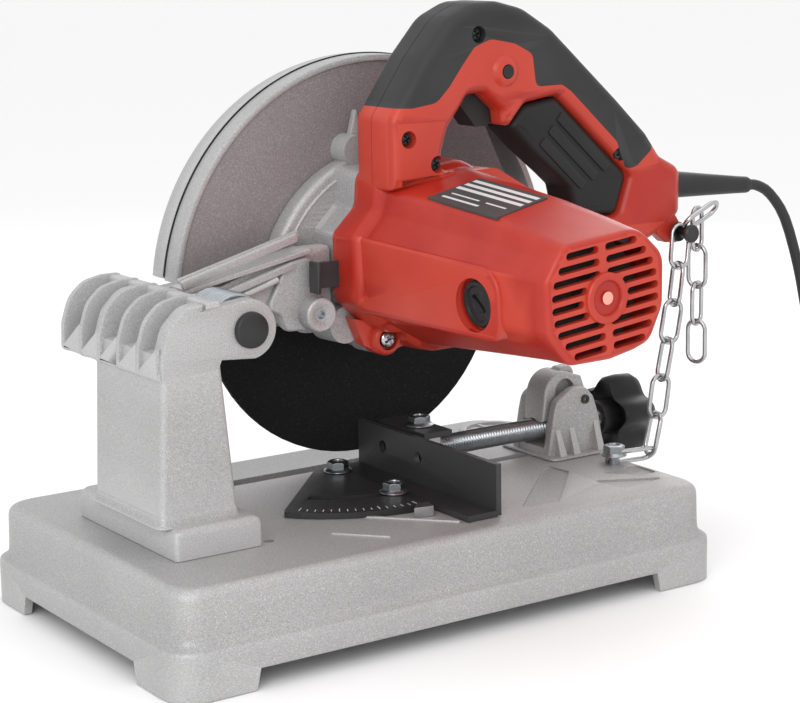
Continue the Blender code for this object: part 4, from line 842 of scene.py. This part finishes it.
def guard():
    """Painted side plate, near rim, seam and far shell."""
    sx, sz = SPINDLE
    sector = degrees_arc(sx, sz, GUARD_R - 2.4, 59.0, 173.0, 72)
    sector += [(-46.0, 152.0), (-30.0, 134.0)]
    sector += degrees_arc(sx, sz, 34.0, 205.0, 325.0, 20)
    sector += [(112.0, 128.0), (141.0, 172.0), (120.0, 204.0)]
    near = plate("XZ", (37.0, 40.0), sector, edge=0.6)
    bore = rod((sx, 30.0, sz), (sx, 60.0, sz), 9.0, 32)
    piece("guard_side_plate", carve(near, bore), "mauve", "head", "guard_inner")
    lip = degrees_arc(sx, sz, GUARD_R, 57.0, 173.4, 90)
    lip += degrees_arc(sx, sz, GUARD_R - 3.4, 173.4, 57.0, 90)
    step = plate("XZ", (35.9, 47.9), lip, edge=0.9)
    edge_line = [(sx + (GUARD_R + 0.2) * math.cos(a), 47.9, sz + (GUARD_R + 0.2) * math.sin(a))
                 for a in (math.radians(57.0 + 1.5 * i) for i in range(78))]
    piece("guard_near_rim", step, "silver", "head")
    piece("guard_seam", sweep(edge_line, 0.45, 8), "dark", "head")
    profile = [(GUARD_R - 3.2, 48.3), (GUARD_R, 48.3), (GUARD_R, 57.0), (118.4, 62.0), (115.6, 66.6),
               (111.4, 69.8), (106.0, 71.4), (100.0, 72.0), (100.0, 69.8), (106.0, 69.2), (110.4, 67.4),
               (113.6, 64.4), (115.8, 60.0), (GUARD_R - 3.2, 56.0)]
    rim = loft([[(sx + r * math.cos(a), y, sz + r * math.sin(a)) for r, y in profile]
                for a in (math.radians(16.0 + 157.0 * i / 120) for i in range(121))])
    cover_line = degrees_arc(sx, sz, 104.0, 16.0, 173.0, 90) + [(-46.0, 152.0), (-34.0, 132.0)]
    cover_line += degrees_arc(sx, sz, 40.0, 205.0, 325.0, 24)
    cover = plate("XZ", (69.6, 72.0), cover_line, arc(sx, sz, 25.0, 0.0, TAU * 47 / 48, 47), edge=0.5)
    rings = []
    for radius in (60.0, 92.0):
        rings.append(sweep([(sx + radius * math.cos(a), 72.0, sz + radius * math.sin(a))
                            for a in (math.radians(22.0 + 2.5 * i) for i in range(59))], 1.1, 8))
    piece("guard_far_shell", join(rim, cover, *rings), "silver", "head", "guard_outer")


# ---- motor ---------------------------------------------------------------------------------------
# Outline corners at several depths, from the flange to the end face: (depth, corners).
MOTOR_LINES = [
    (8.0, [(-6.4, 183.0), (6.1, 195.0), (7.2, 213.0), (58.0, 216.0), (82.0, 199.0), (83.0, 158.0),
           (68.0, 126.0), (54.0, 121.5), (40.0, 121.5), (31.0, 124.5), (8.0, 138.5), (-6.2, 151.5)]),
    (-12.0, [(-6.0, 182.6), (5.6, 195.5), (8.0, 209.0), (58.0, 215.6), (81.0, 198.5), (81.5, 158.2),
             (67.4, 127.4), (54.0, 123.5), (40.0, 123.5), (31.0, 126.2), (8.6, 139.5), (-5.6, 152.0)]),
    (-24.0, [(-3.6, 181.8), (6.0, 194.5), (10.0, 206.4), (56.0, 214.6), (80.0, 197.5), (80.4, 158.6),
             (67.2, 128.8), (54.2, 125.6), (40.4, 125.4), (29.8, 128.0), (9.4, 141.0), (-3.4, 152.6)]),
    (-60.0, [(-1.6, 180.6), (7.6, 191.8), (12.0, 203.4), (52.0, 211.8), (78.6, 194.6), (79.0, 159.2),
             (67.0, 132.6), (55.0, 129.8), (41.0, 129.6), (27.4, 131.2), (10.0, 143.2), (-1.6, 152.8)]),
    (-102.0, [(1.0, 179.4), (9.0, 189.4), (12.4, 200.4), (50.0, 207.8), (76.6, 190.0), (76.8, 159.6),
              (66.8, 138.0), (56.0, 135.2), (42.0, 134.6), (24.2, 135.0), (10.8, 145.4), (1.6, 153.2)]),
    (-128.0, [(3.4, 178.4), (10.0, 187.6), (13.6, 196.0), (56.0, 201.6), (75.2, 186.6), (75.2, 159.8),
              (66.6, 141.6), (56.6, 138.8), (42.6, 137.4), (21.6, 137.4), (11.4, 146.2), (4.0, 153.4)]),
    (-144.0, [(4.9, 177.6), (10.6, 187.0), (15.2, 193.2), (59.4, 197.4), (74.2, 184.0), (74.2, 160.0),
              (66.6, 144.2), (57.0, 141.0), (43.0, 138.2), (19.6, 138.0), (12.0, 146.4), (6.6, 153.4)]),
]


def motor_line(depth, grow=0.0):
    """The housing's corners at one depth, grown outwards by a distance."""
    lines = MOTOR_LINES
    for (a, first), (b, second) in zip(lines, lines[1:]):
        if a >= depth >= b:
            t = (a - depth) / (a - b)
            points = [Vector(p).lerp(Vector(q), t) for p, q in zip(first, second)]
            break
    else:
        points = [Vector(p) for p in (lines[0][1] if depth > lines[0][0] else lines[-1][1])]
    centre = sum(points, Vector((0.0, 0.0))) / len(points)
    return [tuple(centre + (p - centre) * (1.0 + grow / (p - centre).length)) for p in points]


MOTOR_CORNERS = [6, 7, 8, 16, 12, 14, 10, 10, 8, 7, 6, 8]


def motor_ring(depth, grow=0.0, at=None):
    """The housing outline at a depth, placed there or at another depth."""
    y = depth if at is None else at
    return [(x, y, z) for x, z in rounded(motor_line(depth, grow), MOTOR_CORNERS, 5)]


def tilted(x, z):
    """A point on the end face, given along the head's own tilted axes from the end boss."""
    turn = Matrix.Rotation(-TILT, 3, "Y")
    return Vector((39.5, 0.0, 167.3)) + turn @ Vector((x, 0.0, z))


def slot_cutter(x0, x1, z, height):
    """A round-ended bar that cuts one vent slot."""
    half = height / 2.0
    ends = arc(x1 - half, z, half, -math.pi / 2, math.pi / 2, 5) + arc(x0 + half, z, half, math.pi / 2,
                                                                     3 * math.pi / 2, 5)
    corners = [tilted(x, zz) for x, zz in ends]
    return loft([[(p.x, END_Y - 4.0, p.z) for p in corners], [(p.x, END_Y + 9.0, p.z) for p in corners]])


def motor():
    """Red housing with vent slots, brush caps, a screw lug and an end boss."""
    ys = [-20.0, -24.0, -40.0, -60.0, -80.0, -102.0, -115.0, -128.0, -138.0]
    collar = [(8.0, 0.6), (6.8, 1.8), (3.0, 2.2), (-9.0, 2.2), (-12.0, 1.8), (-13.8, 0.6), (-15.2, -0.6),
              (-17.0, -1.0)]
    rings = [motor_ring(y, grow) for y, grow in collar] + [motor_ring(y) for y in ys]
    rings += [motor_ring(-143.6, 0.0, -144.2), motor_ring(-144.0, -0.5, -145.8),
              motor_ring(-144.0, -1.6, -146.8), motor_ring(-144.0, -2.8, -147.0)]
    shell = loft(rings)
    lug = turned((17.0, -4.5, 129.0), (0, 1, 0),
                 [(0.0, 12.1), (8.4, 12.1), (8.4, 2.0), (7.4, 0.4), (6.6, 0.0),
                                                  (0.0, 0.0)], 40)
    neck = loft([[(x, y, z) for x,
                  z in ((-1.0, 141.0), (5.0, 126.6), (17.0, 120.6), (28.0, 123.6), (31.0, 132.0))]
                 for y in (0.0, 7.6)])
    tools = [loft([motor_ring(-144.0, -4.6, -143.4), motor_ring(-102.0, -3.2), motor_ring(-24.0, -3.2),
                   motor_ring(4.0, -3.2), motor_ring(8.0, -3.2, 14.0)])]
    tools.append(rod((17.0, -30.0, 129.0), (17.0, -1.6, 129.0), 5.6, 36))
    reach = (21.0, 25.5, 29.0, 30.5, 31.0, 30.5, 29.0, 25.5, 20.5)
    clear = (1.9, 1.9, 1.9, 10.2, 12.6, 10.2, 1.9, 1.9, 1.9)
    for row in range(9):
        z = (row - 4) * 5.75
        for side in (-1, 1):
            if side < 0:
                tools.append(slot_cutter(-reach[row], -clear[row], z, 3.5))
            else:
                tools.append(slot_cutter(clear[row], reach[row], z, 3.5))
    direction = Matrix.Rotation(-TILT, 3, "Y") @ Vector((-1.0, 0.0, 0.0))
    middle = Vector((MOTOR[0], -99.5, MOTOR[1] - 3.0))
    tools.append(rod(middle + direction * 34.0, middle + direction * 60.0, 12.6, 56))
    far_middle = Vector((MOTOR[0], -105.0, MOTOR[1]))
    tools.append(rod(far_middle - direction * 30.0, far_middle - direction * 60.0, 10.4, 48))
    flank = plate("YZ", (-3.0, 12.0),
                  rounded([(-118.0, 146.0), (-118.0, 180.0), (-10.0, 184.0), (-10.0, 146.0)],
                                             [10, 16, 3, 3], 8), edge=1.6)
    flank = move(flank, Matrix.Translation((0.8, -60.0, 165.0)) @ Matrix.Rotation(math.radians(3.2), 4, "Z")
                 @ Matrix.Rotation(math.radians(-2.0), 4, "Y") @ Matrix.Translation((0.0, 60.0, -165.0)))
    shell = carve(carve(shell, lug, neck, flank, operation="UNION"), *tools)
    piece("motor_shell", shell, "red", "head", "motor_housing", edge=0.45)
    rim = turned(middle + direction * 33.4, direction, [(12.4, 3.4), (12.9, 3.6), (13.6, 3.2), (13.8, -1.0),
                                                       (11.6, -1.0), (11.6, 0.6), (12.2, 1.0)], 64, True)
    piece("brush_surround", rim, "red", "head")
    cap = turned(middle + direction * 28.0, direction,
                 [(0.0, 6.6), (4.2, 6.6), (4.6, 7.2), (8.2, 7.2), (8.8, 8.2), (10.4, 8.2), (11.2, 7.4),
                  (11.3, 0.0), (0.0, 0.0)], 64)
    slot = box((-3.4, 3.4), (-5.6, 5.6), (-1.1, 1.1))
    move(slot, Matrix.Translation(middle + direction * 36.4)
         @ Matrix.Rotation(-TILT, 4, "Y") @ Matrix.Rotation(math.radians(40.0), 4, "X"))
    piece("brush_cap_near", carve(cap, slot), "panel", "head", "brush_cap_left", edge=0.3)
    boss = tilted(0.0, 0.0)
    rings = [(0.0, 1.4), (2.6, 1.5), (3.1, 1.2), (3.1, 0.3), (7.6, 0.3), (8.0, 1.4), (8.6, 1.9), (10.8, 1.9),
             (11.6, 1.2), (11.8, -0.6), (0.0, -0.6)]
    piece("end_boss", turned((boss.x, END_Y, boss.z), (0, -1, 0), rings, 64), "red", "head")
    # painted highlight: a pale red disc for the light caught on the end boss
    piece("end_boss_painted_highlight", turned((boss.x, END_Y, boss.z), (0, -1, 0), [(0.0, 1.9), (2.3, 1.8), (3.0, 1.3),
                                                                         (3.0, 0.0), (0.0, 0.0)], 32), "boss_highlight",
          "head")
    # painted shade: a dark disc inside the housing, seen through the vent slots
    piece("vent_shade_disc", turned((MOTOR[0], -136.0, 167.0), (0, -1, 0), [(0.0, 0.5), (27.0, 0.5), (27.0, 0.0),
                                                                      (0.0, 0.0)], 48), "dark", "head")
    phillips("housing_screw_near", Vector((17.0, -3.6, 129.0)), Vector((0, -1, 0)), 4.4, "chrome", "head",
             "housing_screw")
    label()


def label():
    """Blank rating plate: a grey film with plain pale bars."""
    corners = [Vector((12.6, -46.0, 204.8)), Vector((12.8, -101.0, 200.8)), Vector((44.0, -99.0, 207.4)),
               Vector((45.0, -44.5, 211.4))]
    up = (corners[1] - corners[0]).cross(corners[3] - corners[0]).normalized()
    up = up if up.z > 0 else -up

    def quad(u0, u1, v0, v1, lift, thick):
        low = []
        for u, v in ((u0, v0), (u1, v0), (u1, v1), (u0, v1)):
            along = corners[0].lerp(corners[1], u)
            low.append(along.lerp(corners[3].lerp(corners[2], u), v) + up * lift)
        return loft([low, [p + up * thick for p in low]])

    piece("rating_plate", quad(0.0, 1.0, 0.0, 1.0, -0.9, 1.4), "label", "head", edge=0.15)
    bars = [quad(0.10, 0.62, 0.14, 0.19, 0.48, 0.12), quad(0.12, 0.52, 0.30, 0.335, 0.48, 0.12),
            quad(0.62, 0.90, 0.30, 0.335, 0.48, 0.12), quad(0.03, 0.97, 0.50, 0.58, 0.48, 0.12),
            quad(0.03, 0.97, 0.66, 0.74, 0.48, 0.12), quad(0.03, 0.97, 0.82, 0.90, 0.48, 0.12)]
    piece("rating_plate_bars", join(*bars), "print", "head")


def phillips(name, place, facing, radius, look, body, *nodes):
    """Domed screw head with a cross recess."""
    head = turned(place - facing * 1.0, facing,
                  [(0.0, 2.6), (radius * 0.5, 2.4), (radius * 0.86, 1.8), (radius, 1.0), (radius, 0.0),
                   (0.0, 0.0)],
                  36)
    turn = facing.to_track_quat("Z", "Y").to_matrix().to_4x4()
    spin = Matrix.Rotation(math.radians(28.0), 4, "Z")
    tools = []
    for size in ((radius * 0.62, radius * 0.17), (radius * 0.17, radius * 0.62)):
        bar = box((-size[0], size[0]), (-size[1], size[1]), (0.8, 4.0))
        tools.append(move(bar, Matrix.Translation(place - facing * 1.0) @ turn @ spin))
    piece(name, carve(head, *tools), look, body, *nodes, edge=0.12)


# ---- handle --------------------------------------------------------------------------------------
SILHOUETTE = [(6.3, 206.0), (6.3, 241.0), (12.0, 249.0), (26.5, 270.0), (42.5, 288.0), (58.0, 295.0),
              (72.0, 295.4), (88.0, 291.4), (106.0, 280.6), (148.7, 242.8), (169.0, 223.8), (178.6, 211.2),
              (190.0, 205.4), (197.0, 196.0), (196.0, 186.0), (191.0, 178.4), (183.0, 171.5),
              (168.0, 166.0), (84.5, 154.0), (84.5, 198.0), (67.0, 208.0)]
SILHOUETTE_R = [2, 8, 8, 16, 22, 16, 18, 22, 30, 20, 12, 8, 9, 9, 8, 8, 8, 8, 3, 4, 4]
OPENING = [(37.8, 213.5), (37.6, 223.4), (41.4, 235.0), (48.4, 243.4), (53.4, 250.4), (61.8, 250.6),
           (72.6, 241.6), (73.4, 234.4), (79.0, 233.2), (88.7, 243.8), (109.5, 246.9), (157.3, 203.4),
           (150.0, 181.8), (121.0, 182.0), (92.0, 190.0), (72.0, 212.5)]
OPENING_R = [6, 8, 8, 8, 5, 5, 4, 2, 2, 6, 5, 5, 5, 6, 8, 6]
RUBBER_LINE = [(-4.0, 246.6), (18.7, 245.8), (32.8, 247.6), (40.7, 255.0), (48.7, 265.2), (56.0, 273.6),
               (66.0, 277.1), (80.7, 274.3), (91.8, 268.8), (94.1, 252.2), (110.8, 252.4), (116.6, 248.7),
               (146.8, 221.2), (150.2, 213.8), (155.4, 205.8), (160.8, 207.4), (170.0, 214.6), (176.0, 222.0),
               (190.0, 240.0), (120.0, 320.0), (-20.0, 320.0)]
RUBBER_R = [1, 6, 8, 6, 8, 6, 8, 8, 5, 4, 6, 6, 4, 4, 4, 4, 4, 4, 4, 4, 4]
PANEL = [(79.6, 233.2), (94.0, 219.3), (111.0, 205.6), (118.6, 199.0), (120.2, 192.6), (121.4, 184.0),
         (149.2, 182.6), (156.4, 203.0), (109.3, 246.0), (89.2, 243.0)]
PANEL_R = [4, 8, 6, 4, 4, 4, 5, 5, 6, 6]


def handle():
    """Loop handle in two halves with an overmould, a panel, screws and the chain hook."""
    near, seam, far = HANDLE_Y
    full = plate("XZ", (near, far), rounded(SILHOUETTE, SILHOUETTE_R, 6), rounded(OPENING, OPENING_R, 5),
                 edge=5.5)
    nose = plate("XY", (130.0, 310.0), rounded([(-30.0, near - 1.0), (196.6, near - 1.0), (196.6, far + 1.0),
                                                (-30.0, far + 1.0)], [1, 17, 17, 1], 10))
    full = carve(full, nose, operation="INTERSECT")
    copy = full.copy()
    region = plate("XZ", (near - 10.0, far + 10.0), rounded(RUBBER_LINE, RUBBER_R, 5))
    other_region = region.copy()
    split = box((-40.0, 240.0), (seam - 0.22, seam + 0.22), (140.0, 320.0))
    red = carve(full, region)
    rubber = carve(copy, other_region, operation="INTERSECT")
    tools = [split]
    for x, z in ((16.2, 230.8), (33.4, 217.6)):
        tools.append(rod((x, near - 4.0, z), (x, near + 4.4, z), 4.3, 36))
    tools.append(rod((150.6, near - 4.0, 214.4), (150.6, near + 4.0, 214.4), 4.1, 36))
    tools.append(rod((74.9, near - 9.0, 260.8), (74.9, near + 9.0, 260.8), 3.6, 32))
    tools.append(plate("XZ", (seam - 8.0, seam + 8.0),
                       [(53.0, 230.0), (78.0, 230.0), (78.0, 257.0), (53.0, 257.0)]))
    swell = turned((74.9, near + 1.0, 260.8), (0, -1, 0),
                   [(0.0, 3.4), (5.0, 3.2), (6.6, 2.2), (8.6, 0.4), (9.0, -1.0),
                                                          (0.0, -1.0)], 48)
    red = carve(carve(red, swell, operation="UNION"), *tools)
    piece("handle_shell", red, "red", "head", "handle_near", "handle_far", edge=0.35)
    split = box((-40.0, 240.0), (seam - 0.22, seam + 0.22), (140.0, 320.0))
    holes = [rod((58.6, near - 4.0, 279.6), (58.6, near + 4.4, 279.6), 4.2, 36)]
    rubber = carve(rubber, split, *holes)
    piece("handle_overmould", rubber, "rubber", "head", "grip_near", "grip_far", edge=0.35)
    # painted shade: a dark sheet between the two halves that shows in the seam gap
    shade_sheet = plate("XZ", (seam - 1.5, seam + 1.5), rounded(SILHOUETTE, SILHOUETTE_R, 6),
                 rounded(OPENING, OPENING_R, 5), grow=-0.9)
    room = plate("XZ", (seam - 8.0, seam + 8.0), [(52.0, 229.0), (80.0, 229.0), (80.0, 270.0), (52.0, 270.0)])
    piece("handle_seam_shade", carve(shade_sheet, room), "dark", "head")
    for i, (x, z) in enumerate(((16.2, 230.8), (33.4, 217.6), (150.6, 214.4), (58.6, 279.6))):
        nodes = {0: ("handle_screw_upper",), 1: ("handle_screw_lower",)}.get(i, ())
        phillips("handle_screw_%d" % i, Vector((x, near + 3.4, z)), Vector((0, -1, 0)), 3.3, "black",
                 "head", *nodes)
    panel = plate("XZ", (near + 2.0, far - 7.0), rounded(PANEL, PANEL_R, 5), edge=4.5)
    ribs = []
    along = (Vector((157.0, 203.4)) - Vector((109.5, 246.9))).normalized()
    across = Vector((along.y, -along.x))
    start = Vector((111.5, 238.0))
    for i in range(3):
        a = start + across * (2.0 + 8.2 * i) * -1.0 if across.y > 0 else start + across * (2.0 + 8.2 * i)
        b = a + along * (43.0 - 3.0 * i)
        ribs.append(plate("XZ", (near + 0.9, near + 4.0), rounded(strip(a, b, 5.6), 1.4, 4), edge=0.9))
    piece("panel_body", panel, "panel", "head", "front_panel")
    piece("panel_ribs", join(*ribs), "panel", "head")
    hook_boss = plate("XZ", (near + 0.6, near + 9.0), rounded([(172.0, 184.0), (176.0, 170.0), (182.0, 164.6),
                                                              (190.0, 163.6), (194.0, 168.0), (191.0, 176.0),
                                                              (184.0, 186.0)], 3.0, 5), edge=1.4)
    piece("hook_bracket", hook_boss, "red", "head")
    pin = turned((HOOK.x, near - 1.0, HOOK.z), (0, -1, 0),
                 [(0.0, 12.0), (4.0, 12.0), (4.8, 11.2), (4.8, 9.6), (2.7, 9.0),
                                                          (2.7, 1.4), (5.2, 1.0), (5.4, 0.0), (0.0, 0.0)], 36)
    piece("hook_pin", pin, "black", "head", "chain_hook_pin")


# ---- fence, vise, chain --------------------------------------------------------------------------
def hex_bolt(name, place, across, height, body, *nodes, axis=UP, washer=7.4, shank=3.0, depth=12.0):
    """Flanged hexagon bolt with a dished head."""
    place = Vector(place)
    radius = across / math.sqrt(3.0)
    turn = Vector(axis).to_track_quat("Z", "Y").to_matrix().to_4x4()
    hexagon = bmesh.new()
    bmesh.ops.create_cone(hexagon, cap_ends=True, segments=6, radius1=radius, radius2=radius, depth=height)
    move(hexagon, Matrix.Translation((0, 0, 1.4 + height / 2.0)))
    dome = turned((0, 0, 0), UP,
                  [(0.0, height + 1.4), (radius * 0.80, height + 1.4), (radius * 1.02, height + 0.7),
                                  (radius * 1.02, 1.0), (0.0, 1.0)], 48)
    dish = turned((0, 0, 0), UP,
                  [(0.0, height + 2.4), (radius * 0.58, height + 2.4), (radius * 0.50, height + 0.8),
                                  (0.0, height + 0.7)], 36)
    head = carve(carve(hexagon, dome, operation="INTERSECT"), dish)
    flange = turned((0, 0, 0), UP,
                    [(0.0, 1.9), (radius * 0.9, 1.9), (washer * 0.86, 1.2), (washer, 0.5), (washer, 0.0),
                                    (0.0, 0.0)], 48)
    rod_part = rod((0, 0, -depth), (0, 0, 0.2), shank, 24)
    shape = join(head, flange, rod_part)
    move(shape, Matrix.Translation(place) @ turn)
    piece(name, shape, "zinc", body, *nodes, edge=0.15)


def fence():
    """Fence bolts and the scale on the quadrant."""
    top = 50.3 + 3.0
    hex_bolt("pivot_bolt_head", (10.6, 36.0, top + 0.3), 10.0, 4.0, "base", "fence_pivot_bolt")
    hex_bolt("lock_bolt_head", (10.6, -16.5, top + 0.3), 10.0, 4.0, "base", "fence_lock_bolt")
    ticks = []
    for i in range(0, 46, 3):
        angle = math.radians(-92.0 - i)
        long = 5.0 if i % 15 == 0 else 3.0
        a = Vector((10.6 + 77.0 * math.cos(angle), 36.0 + 77.0 * math.sin(angle)))
        b = Vector((10.6 + (77.0 - long) * math.cos(angle), 36.0 + (77.0 - long) * math.sin(angle)))
        ticks.append(plate("XY", (top - 0.1, top + 0.08), strip(a, b, 0.5)))
    piece("quadrant_scale", join(*ticks), "print", "fence")


def screw_thread(length, radius, depth, pitch, per_turn=9, sides=40):
    """A right-hand vee thread along +X from the origin."""
    bm = bmesh.new()
    rows = int(length / pitch * per_turn)
    rings = []
    for i in range(rows + 1):
        x = length * i / rows
        ring = []
        for k in range(sides):
            phase = (x / pitch - k / sides) % 1.0
            r = radius - depth * (1.0 - abs(2.0 * phase - 1.0))
            ring.append(bm.verts.new((x, r * math.cos(TAU * k / sides), r * math.sin(TAU * k / sides))))
        rings.append(ring)
    for low, high in zip(rings, rings[1:]):
        for k in range(sides):
            bm.faces.new((low[k], low[(k + 1) % sides], high[(k + 1) % sides], high[k]))
    bm.faces.new(rings[0])
    bm.faces.new(rings[-1])
    return bm


def knob_ring(x, size, lobe):
    """A five-lobed ring round the vise screw."""
    out = []
    for i in range(90):
        angle = TAU * i / 90
        r = size * (1.0 + lobe * math.cos(5 * angle))
        out.append((x, VISE[0] + r * math.cos(angle + 0.4), VISE[1] + r * math.sin(angle + 0.4)))
    return out


def vise():
    """Threaded screw, its collar and the lobed knob."""
    hex_bolt("jaw_bolt_head", (48.0, 14.5, 76.9), 10.0, 3.8, "vise_carriage", "jaw_bolt", depth=6.5)
    thread = screw_thread(104.0, 5.75, 0.85, 1.75)
    move(thread, Matrix.Translation((57.0, VISE[0], VISE[1])))
    shank = turned((57.0, VISE[0], VISE[1]), (1, 0, 0),
                   [(0.0, 126.5), (5.2, 126.5), (5.2, 103.0), (4.4, 102.0),
                                                         (4.4, -9.0), (0.0, -9.0)], 40)
    piece("vise_thread", join(thread, shank), "zinc", "vise_spindle", "vise_screw", angle=60.0)
    rings = [knob_ring(177.0, 6.0, 0.0), knob_ring(175.6, 13.0, 0.04), knob_ring(172.6, 17.2, 0.13),
             knob_ring(171.2, 18.4, 0.15), knob_ring(172.4, 19.4, 0.16), knob_ring(180.0, 19.8, 0.17),
             knob_ring(189.0, 19.4, 0.16), knob_ring(193.4, 17.4, 0.14), knob_ring(195.6, 13.0, 0.08),
             knob_ring(196.2, 5.0, 0.0)]
    piece("knob_body", loft(rings), "knob", "vise_spindle", "vise_knob", angle=60.0)
    hub = turned((166.0, VISE[0], VISE[1]), (1, 0, 0),
                 [(5.4, 12.0), (9.2, 12.0), (9.6, 11.0), (9.6, 1.2), (9.0, 0.2),
                                                        (5.6, 0.0)], 48, True)
    piece("knob_hub", hub, "knob", "vise_spindle")
    collar = turned((161.4, VISE[0], VISE[1]), (1, 0, 0),
                    [(0.0, 5.6), (6.4, 5.6), (6.9, 5.0), (6.9, 0.6), (6.4, 0.0),
                                                         (0.0, 0.0)], 40)
    piece("knob_collar", collar, "chrome", "vise_spindle")
    bracket()


def bracket():
    """Two ribbed cheeks with the roll pin and the half-nut lever."""
    y = VISE[0]
    side = rounded([(121.0, 50.3), (160.0, 50.3), (156.0, 70.0), (152.4, 80.5), (147.0, 86.4), (138.0, 87.0),
                    (126.8, 80.6), (124.6, 72.0)], [1, 1, 8, 6, 6, 9, 7, 8], 6)
    cheeks = [plate("XZ", (y - 16.0, y - 10.2), side, edge=1.3),
              plate("XZ", (y + 10.2, y + 16.0), side, edge=1.3)]
    floor = box((122.0, 156.0), (y - 12.0, y + 12.0), (50.3, 55.0))
    ribs = []
    for x, high in ((127.5, 71.0), (137.0, 71.0), (153.5, 74.0)):
        for side_of, reach in ((-1, -22.0), (1, 22.0)):
            root = y + side_of * 13.0
            tip = y + reach
            ribs.append(loft([[(x - 2.4, tip, 50.3), (x + 2.4, tip, 50.3), (x + 2.4, root, 50.3),
                               (x - 2.4, root, 50.3)],
                              [(x - 1.2, root + side_of * 0.6, high), (x + 1.2, root + side_of * 0.6, high),
                               (x + 1.2, root, high), (x - 1.2, root, high)]]))
    pad = plate("XY", (50.2, 51.6), rounded([(118.0, y - 24.0), (160.0, y - 24.0), (160.0, y + 24.0),
                                             (118.0, y + 24.0)], 5.0, 5), edge=0.5)
    piece("bracket_body", join(*cheeks, floor), "silver", "base", "vise_bracket", edge=0.4)
    piece("bracket_ribs", join(pad, *ribs), "silver", "base", edge=0.7)
    pin = turned((146.0, y - 17.0, 79.8), (0, 1, 0),
                 [(1.0, 34.0), (2.4, 34.0), (2.6, 33.4), (2.6, 0.6), (2.4, 0.0),
                                                      (1.0, 0.0), (1.0, 2.0), (0.0, 2.0)], 28)
    piece("bracket_roll_pin", pin, "black", "base", "release_pin")
    lever = [(122.8, 68.4), (124.2, 80.0)] + degrees_arc(137.0, 82.0, 12.6, 172.0, 66.0, 16)
    lever += [(149.8, 91.0), (152.4, 84.0), (151.0, 75.8), (140.0, 73.0), (136.0, 68.4)]
    hook = plate("XZ", (y - 8.4, y + 8.4), lever, edge=1.4)
    finger = plate("XZ", (y - 4.0, y + 4.0),
                   rounded([(132.0, 90.0), (139.0, 96.0), (146.0, 96.6), (149.0, 92.0),
                                                      (144.0, 88.0)], 3.0, 5), edge=1.4)
    hole = rod((115.0, y, VISE[1]), (160.0, y, VISE[1]), 6.2, 40)
    dish = rod((138.0, y - 20.0, 84.5), (138.0, y - 4.6, 84.5), 6.4, 40)
    body = carve(carve(hook, finger, operation="UNION"), hole, dish)
    piece("half_nut_lever", body, "silver", "half_nut", "release_nut", edge=0.4)


def link(centre, along, roll, length=25.4, width=12.8, wire=1.25):
    """One welded chain link: a long loop of round wire."""
    along = Vector(along).normalized()
    side = along.orthogonal().normalized()
    side = Matrix.Rotation(roll, 3, along) @ side
    radius, straight = width / 2.0 - wire, length / 2.0 - width / 2.0
    loop = [(straight + radius * math.cos(a), radius * math.sin(a)) for a in
            (math.radians(-90.0 + 15.0 * i) for i in range(13))]
    loop += [(-u, -v) for u, v in loop]
    return sweep([Vector(centre) + along * u + side * v for u, v in loop], wire, 12, True)


def chain_links(points, first_roll):
    """Links between successive points, each turned a quarter from the last."""
    links = []
    for i, (a, b) in enumerate(zip(points, points[1:])):
        a, b = Vector(a), Vector(b)
        links.append(link((a + b) / 2.0, b - a, first_roll + math.radians(90.0) * (i % 2)))
    return links


def chain():
    """Chain from the base bolt up to the hook, and its loose tail."""
    flat = link((153.0, -31.8, 53.4), (22.0, -3.6, 0.0), math.radians(90.0), 31.0, 13.0)
    hex_bolt("chain_bolt_head", (142.9, -29.8, 54.6), 10.0, 4.4, "base", "chain_bolt", washer=6.8)
    piece("chain_anchor_link", flat, "chrome", "base")
    points = [(164.5, -33.4, 54.0), (169.2, -33.6, 73.6), (172.4, -33.6, 93.6), (177.0, -33.4, 113.4),
              (181.0, -33.2, 133.2), (184.4, -32.6, 153.2), (187.6, -31.0, 172.6)]
    run = piece("chain_run_links", join(*chain_links(points, math.radians(35.0))), "chrome", None,
                "chain_run")
    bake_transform(run)
    points = [(198.6, -31.0, 181.0), (199.0, -31.0, 161.0), (199.2, -31.0, 140.8), (199.2, -31.0, 120.6),
              (199.4, -31.0, 99.0)]
    links = chain_links(points, math.radians(25.0))
    links.append(link((198.4, -34.0, 178.4), (22.0, -4.0, 12.0), math.radians(80.0)))
    piece("chain_tail_links", join(*links), "chrome", "head", "chain_tail")


camera()
studio()
dress_cad_nodes()
power_lead()
base()
tower()
arm()
gear_case()
guard()
motor()
handle()
fence()
vise()
chain()
